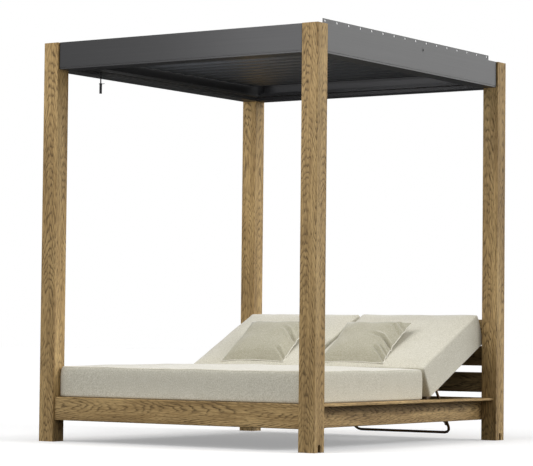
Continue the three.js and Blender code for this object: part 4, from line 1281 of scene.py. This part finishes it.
@dataclass
class Upholstery:
    """The seat mattress, the two back cushions and the two pillows."""

    bed_top: float = 0.2503
    hinge: tuple[float, float] = (0.345, 0.246)
    backrest_deg: float = 26.0
    cushion_lift: float = 0.0103
    split: float = 0.008
    outer_edge: float = 0.817
    seat_front: float = -1.006
    seat_back: float = 0.272
    seat_height: float = 0.172
    back_length: float = 0.716
    back_height: float = 0.183
    back_slide: float = 0.013
    cloth: WovenAcrylic = field(default_factory=WovenAcrylic)
    # The pillows' cloth is darker than the cushions', partly its own tone and partly painted
    # shade. The pillows look darker in the photo, which may be their cloth or its shade
    pillow_cloth_and_shade: WovenAcrylic = field(
        default_factory=lambda: WovenAcrylic(
            "woven_acrylic_pillow_and_shade", base="#b9b5a3", pale_yarn="#cdc9b9", dark_yarn="#98937e"
        )
    )
    piping_cloth: WovenAcrylic = field(
        default_factory=lambda: WovenAcrylic(
            "woven_acrylic_piping", base="#ece9df", pale_yarn="#f2f0e8", dark_yarn="#c9c5b6"
        )
    )

    def backrest_place(self) -> Matrix:
        """Finds the backrests' frame.

        Returns:
            The place on the hinge pin, turned to the angle that they are set at.
        """
        return Matrix.Translation((0, *self.hinge)) @ Matrix.Rotation(
            math.radians(self.backrest_deg), 4, "X"
        )

    def build(self) -> None:
        """Makes each soft piece."""
        cover = self.cloth.material()
        pillow_cover = self.pillow_cloth_and_shade.material()
        piping = self.piping_cloth.material()
        middle = (self.seat_front + self.seat_back) / 2
        BoxCushion(
            "seat_cover", "seat_mattress", "frame",
            2 * self.outer_edge, self.seat_back - self.seat_front, self.seat_height, 0.012,
            Matrix.Translation((0, middle, self.bed_top)), seed=1.3,
        ).build(cover)
        width = self.outer_edge - self.split / 2
        centre_x = self.split / 2 + width / 2
        tilt = self.backrest_place()
        pillow_rise = self.cushion_lift + self.back_height
        folds = {
            "left": (
                Crease((0.38, 0.40), (0.92, 0.0), 0.013, 0.012),
                Crease((0.60, -0.58), (0.97, -0.88), 0.014, 0.012),
                Crease((0.70, 0.16), (1.02, -0.10), 0.008, 0.011),
                Crease((0.70, 0.72), (1.0, 0.54), 0.008, 0.011),
            ),
            "right": (
                Crease((0.16, 0.07), (0.99, -0.28), 0.014, 0.012),
                Crease((0.50, 0.02), (1.0, -0.33), 0.011, 0.009),
                Crease((0.66, 0.80), (1.0, 0.58), 0.010, 0.010),
                Crease((0.57, 0.64), (0.96, 0.34), 0.010, 0.010),
                Crease((0.50, -0.48), (0.99, -0.90), 0.015, 0.012),
                Crease((0.66, -0.40), (1.0, -0.66), 0.010, 0.009),
            ),
        }
        for side, sign, pillow_x, seed in (("left", -1, -0.386, 5.1), ("right", 1, 0.304, 9.4)):
            middle_y = self.back_slide + self.back_length / 2
            BoxCushion(
                f"back_cover_{side}", f"back_cushion_{side}", f"cushion_{side}",
                width, self.back_length, self.back_height, 0.013,
                tilt @ Matrix.Translation((sign * centre_x, middle_y, self.cushion_lift)),
                seed=seed, edge=0.012, head_lean=0.014, crown_power=8,
            ).build(cover)
            pillow = ThrowPillow(
                f"pillow_cover_{side}", f"pillow_{side}", f"cushion_{side}",
                pillow_x, sign * centre_x, Matrix.Identity(4), folds[side], seed=seed + 1,
            )
            pillow.place = tilt @ Matrix.Translation(
                (pillow_x, pillow.along + pillow.length / 2, pillow_rise)
            )
            pillow.build(pillow_cover, piping)


def hang_lamp(
    data: bpy.types.Light, place: tuple[float, float, float] | Vector, away: Vector
) -> bpy.types.Object:
    """Hangs a lamp up and turns it.

    Args:
        data: The lamp's light.
        place: Where it hangs.
        away: The direction that it shines away from.

    Returns:
        The lamp.
    """
    lamp = bpy.data.objects.new(data.name, data)
    bpy.context.scene.collection.objects.link(lamp)
    lamp.location = place
    lamp.rotation_mode = "QUATERNION"
    lamp.rotation_quaternion = away.to_track_quat("Z", "Y")
    return lamp


@dataclass(frozen=True)
class SoftLamp:
    """A broad, even light from far off."""

    name: str
    direction: tuple[float, float, float]
    strength: float
    spread_deg: float

    def build(self) -> bpy.types.Object:
        """Makes the lamp, shining from its direction.

        Returns:
            The lamp.
        """
        data = bpy.data.lights.new(self.name, "SUN")
        data.energy = self.strength
        data.angle = math.radians(self.spread_deg)
        away = Vector(self.direction)
        return hang_lamp(data, away.normalized() * 6, away)


@dataclass(frozen=True)
class SoftBox:
    """A soft box near the object, so that its light falls off with distance."""

    name: str
    place: tuple[float, float, float]
    aim: tuple[float, float, float]
    power: float
    size: float
    height: float | None = None
    spread_deg: float = 180.0

    def build(self) -> bpy.types.Object:
        """Makes the box at its place, turned to what it lights.

        Returns:
            The lamp.
        """
        data = bpy.data.lights.new(self.name, "AREA")
        data.energy = self.power
        data.shape = "RECTANGLE"
        data.size = self.size
        data.size_y = self.height or self.size
        data.spread = math.radians(self.spread_deg)
        box = hang_lamp(data, self.place, Vector(self.place) - Vector(self.aim))
        box.visible_camera = False
        return box


@dataclass
class Studio:
    """The camera at the photograph's place, soft lamps, and a pale floor and background."""

    camera_place: tuple[float, float, float] = (7.26549, -11.00289, 0.61447)
    azimuth_deg: float = 33.7704
    elevation_deg: float = -2.55139
    roll_deg: float = 0.60131
    picture_width: int = 533
    focal_pixels: float = 2269.485
    sensor_mm: float = 36.0
    camera_reach: float = 200.0
    floor_half: float = 60.0
    floor_drop: float = 0.4 * MM
    floor_glow: float = 0.33
    floor_paint: str = "#dddddd"
    floor_cast: str = "#46474a"
    white: str = "#ffffff"
    sky_strength: float = 0.58
    lamps: tuple[SoftLamp | SoftBox, ...] = (
        SoftLamp("right_light", (0.85, 0.22, 0.5), 1.05, 20),
        SoftLamp("front_left_light", (-0.55, -0.78, 0.5), 0.76, 30),
        SoftLamp("back_right_light", (0.6, 0.76, 0.28), 0.95, 40),
        SoftBox("under_roof_light", (0.0, -0.15, 2.02), (0.0, -0.15, 0.0), 7.0, 1.4),
        SoftBox("under_roof_right_light", (0.45, -0.1, 2.02), (0.0, 0.2, 0.0), 4.3, 0.6),
        SoftBox("front_light", (0.0, -2.5, 2.3), (0.0, -1.0, 1.7), 16.0, 1.2),
        SoftBox("louvre_light", (-0.25, -0.84, 2.09), (-0.25, 0.9, 2.17), 2.8, 0.9, 0.1, 80.0),
    )

    def add_camera(self) -> None:
        """Stands the camera where the photograph was taken from."""
        a, e = math.radians(self.azimuth_deg), math.radians(self.elevation_deg)
        back = Vector((math.sin(a) * math.cos(e), -math.cos(a) * math.cos(e), math.sin(e)))
        right = (-back).cross(Vector((0, 0, 1))).normalized()
        up = right.cross(-back)
        roll = math.radians(self.roll_deg)
        turned_right = math.cos(roll) * right + math.sin(roll) * up
        turned_up = -math.sin(roll) * right + math.cos(roll) * up
        data = bpy.data.cameras.new("photo_camera")
        data.sensor_width = self.sensor_mm
        data.lens = self.focal_pixels / self.picture_width * self.sensor_mm
        data.clip_end = self.camera_reach
        camera = bpy.data.objects.new("photo_camera", data)
        bpy.context.scene.collection.objects.link(camera)
        turn = Matrix((turned_right, turned_up, back)).transposed().to_4x4()
        camera.matrix_world = Matrix.Translation(self.camera_place) @ turn
        bpy.context.scene.camera = camera

    def add_floor(self) -> None:
        """Lays the pale floor. It looks white where it is lit, and keeps the shadow."""
        h, low = self.floor_half, -self.floor_drop
        corners = np.array([(-h, -h, low), (h, -h, low), (h, h, low), (-h, h, low)])
        floor = mesh_object("studio_floor", corners, [(0, 1, 2, 3)])
        material, tree, surface = new_material("painted_floor")
        # One for what the camera shows, and zero for the light that is cast
        seen = add_node(tree, "LightPath", output="Is Camera Ray")
        # The floor casts less light up at the object than its own colour would
        tones = {0: seen, 6: linear(self.floor_cast), 7: linear(self.floor_paint)}
        paint = add_node(tree, "Mix", tones, 2, data_type="RGBA")
        set_sockets(
            tree, surface, {"Base Color": paint, "Roughness": 1.0, "Specular IOR Level": 0.0}
        )
        shine = add_node(tree, "Math", {0: seen, 1: self.floor_glow}, operation="MULTIPLY")
        glow = add_node(tree, "Emission", {"Color": linear(self.white), "Strength": shine})
        both = add_node(tree, "AddShader", {0: surface.outputs[0], 1: glow})
        set_sockets(tree, tree.nodes["Material Output"], {"Surface": both})
        floor.data.materials.append(material)

    def add_sky(self) -> None:
        """Makes the background white to the eye, and an even pale light on the object."""
        world = bpy.data.worlds.new("studio_air")
        bpy.context.scene.world = world
        world.use_nodes = True
        tree = world.node_tree
        plain, white = (
            add_node(tree, "Background", {"Color": linear(self.white), "Strength": strength})
            for strength in (self.sky_strength, 1.0)
        )
        seen = add_node(tree, "LightPath", output="Is Camera Ray")
        mix = add_node(tree, "MixShader", {0: seen, 1: plain, 2: white})
        set_sockets(tree, tree.nodes["World Output"], {"Surface": mix})

    def build(self) -> None:
        """Makes the camera, the lamps, the floor and the background."""
        self.add_camera()
        self.add_floor()
        self.add_sky()
        for lamp in self.lamps:
            lamp.build()
        bpy.context.scene.view_settings.view_transform = "Standard"
        log.info("studio: %d lamps", len(self.lamps))


def main() -> None:
    """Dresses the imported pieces, sews the soft ones and sets the studio up."""
    logging.basicConfig(level=logging.INFO, format="%(name)s %(message)s")
    OakFrame().dress()
    RoofBeams().dress()
    LouvreRoof().dress()
    CrankDrive().dress()
    BackrestGear().dress()
    Upholstery().build()
    Studio().build()


if __name__ == "__main__":
    main()
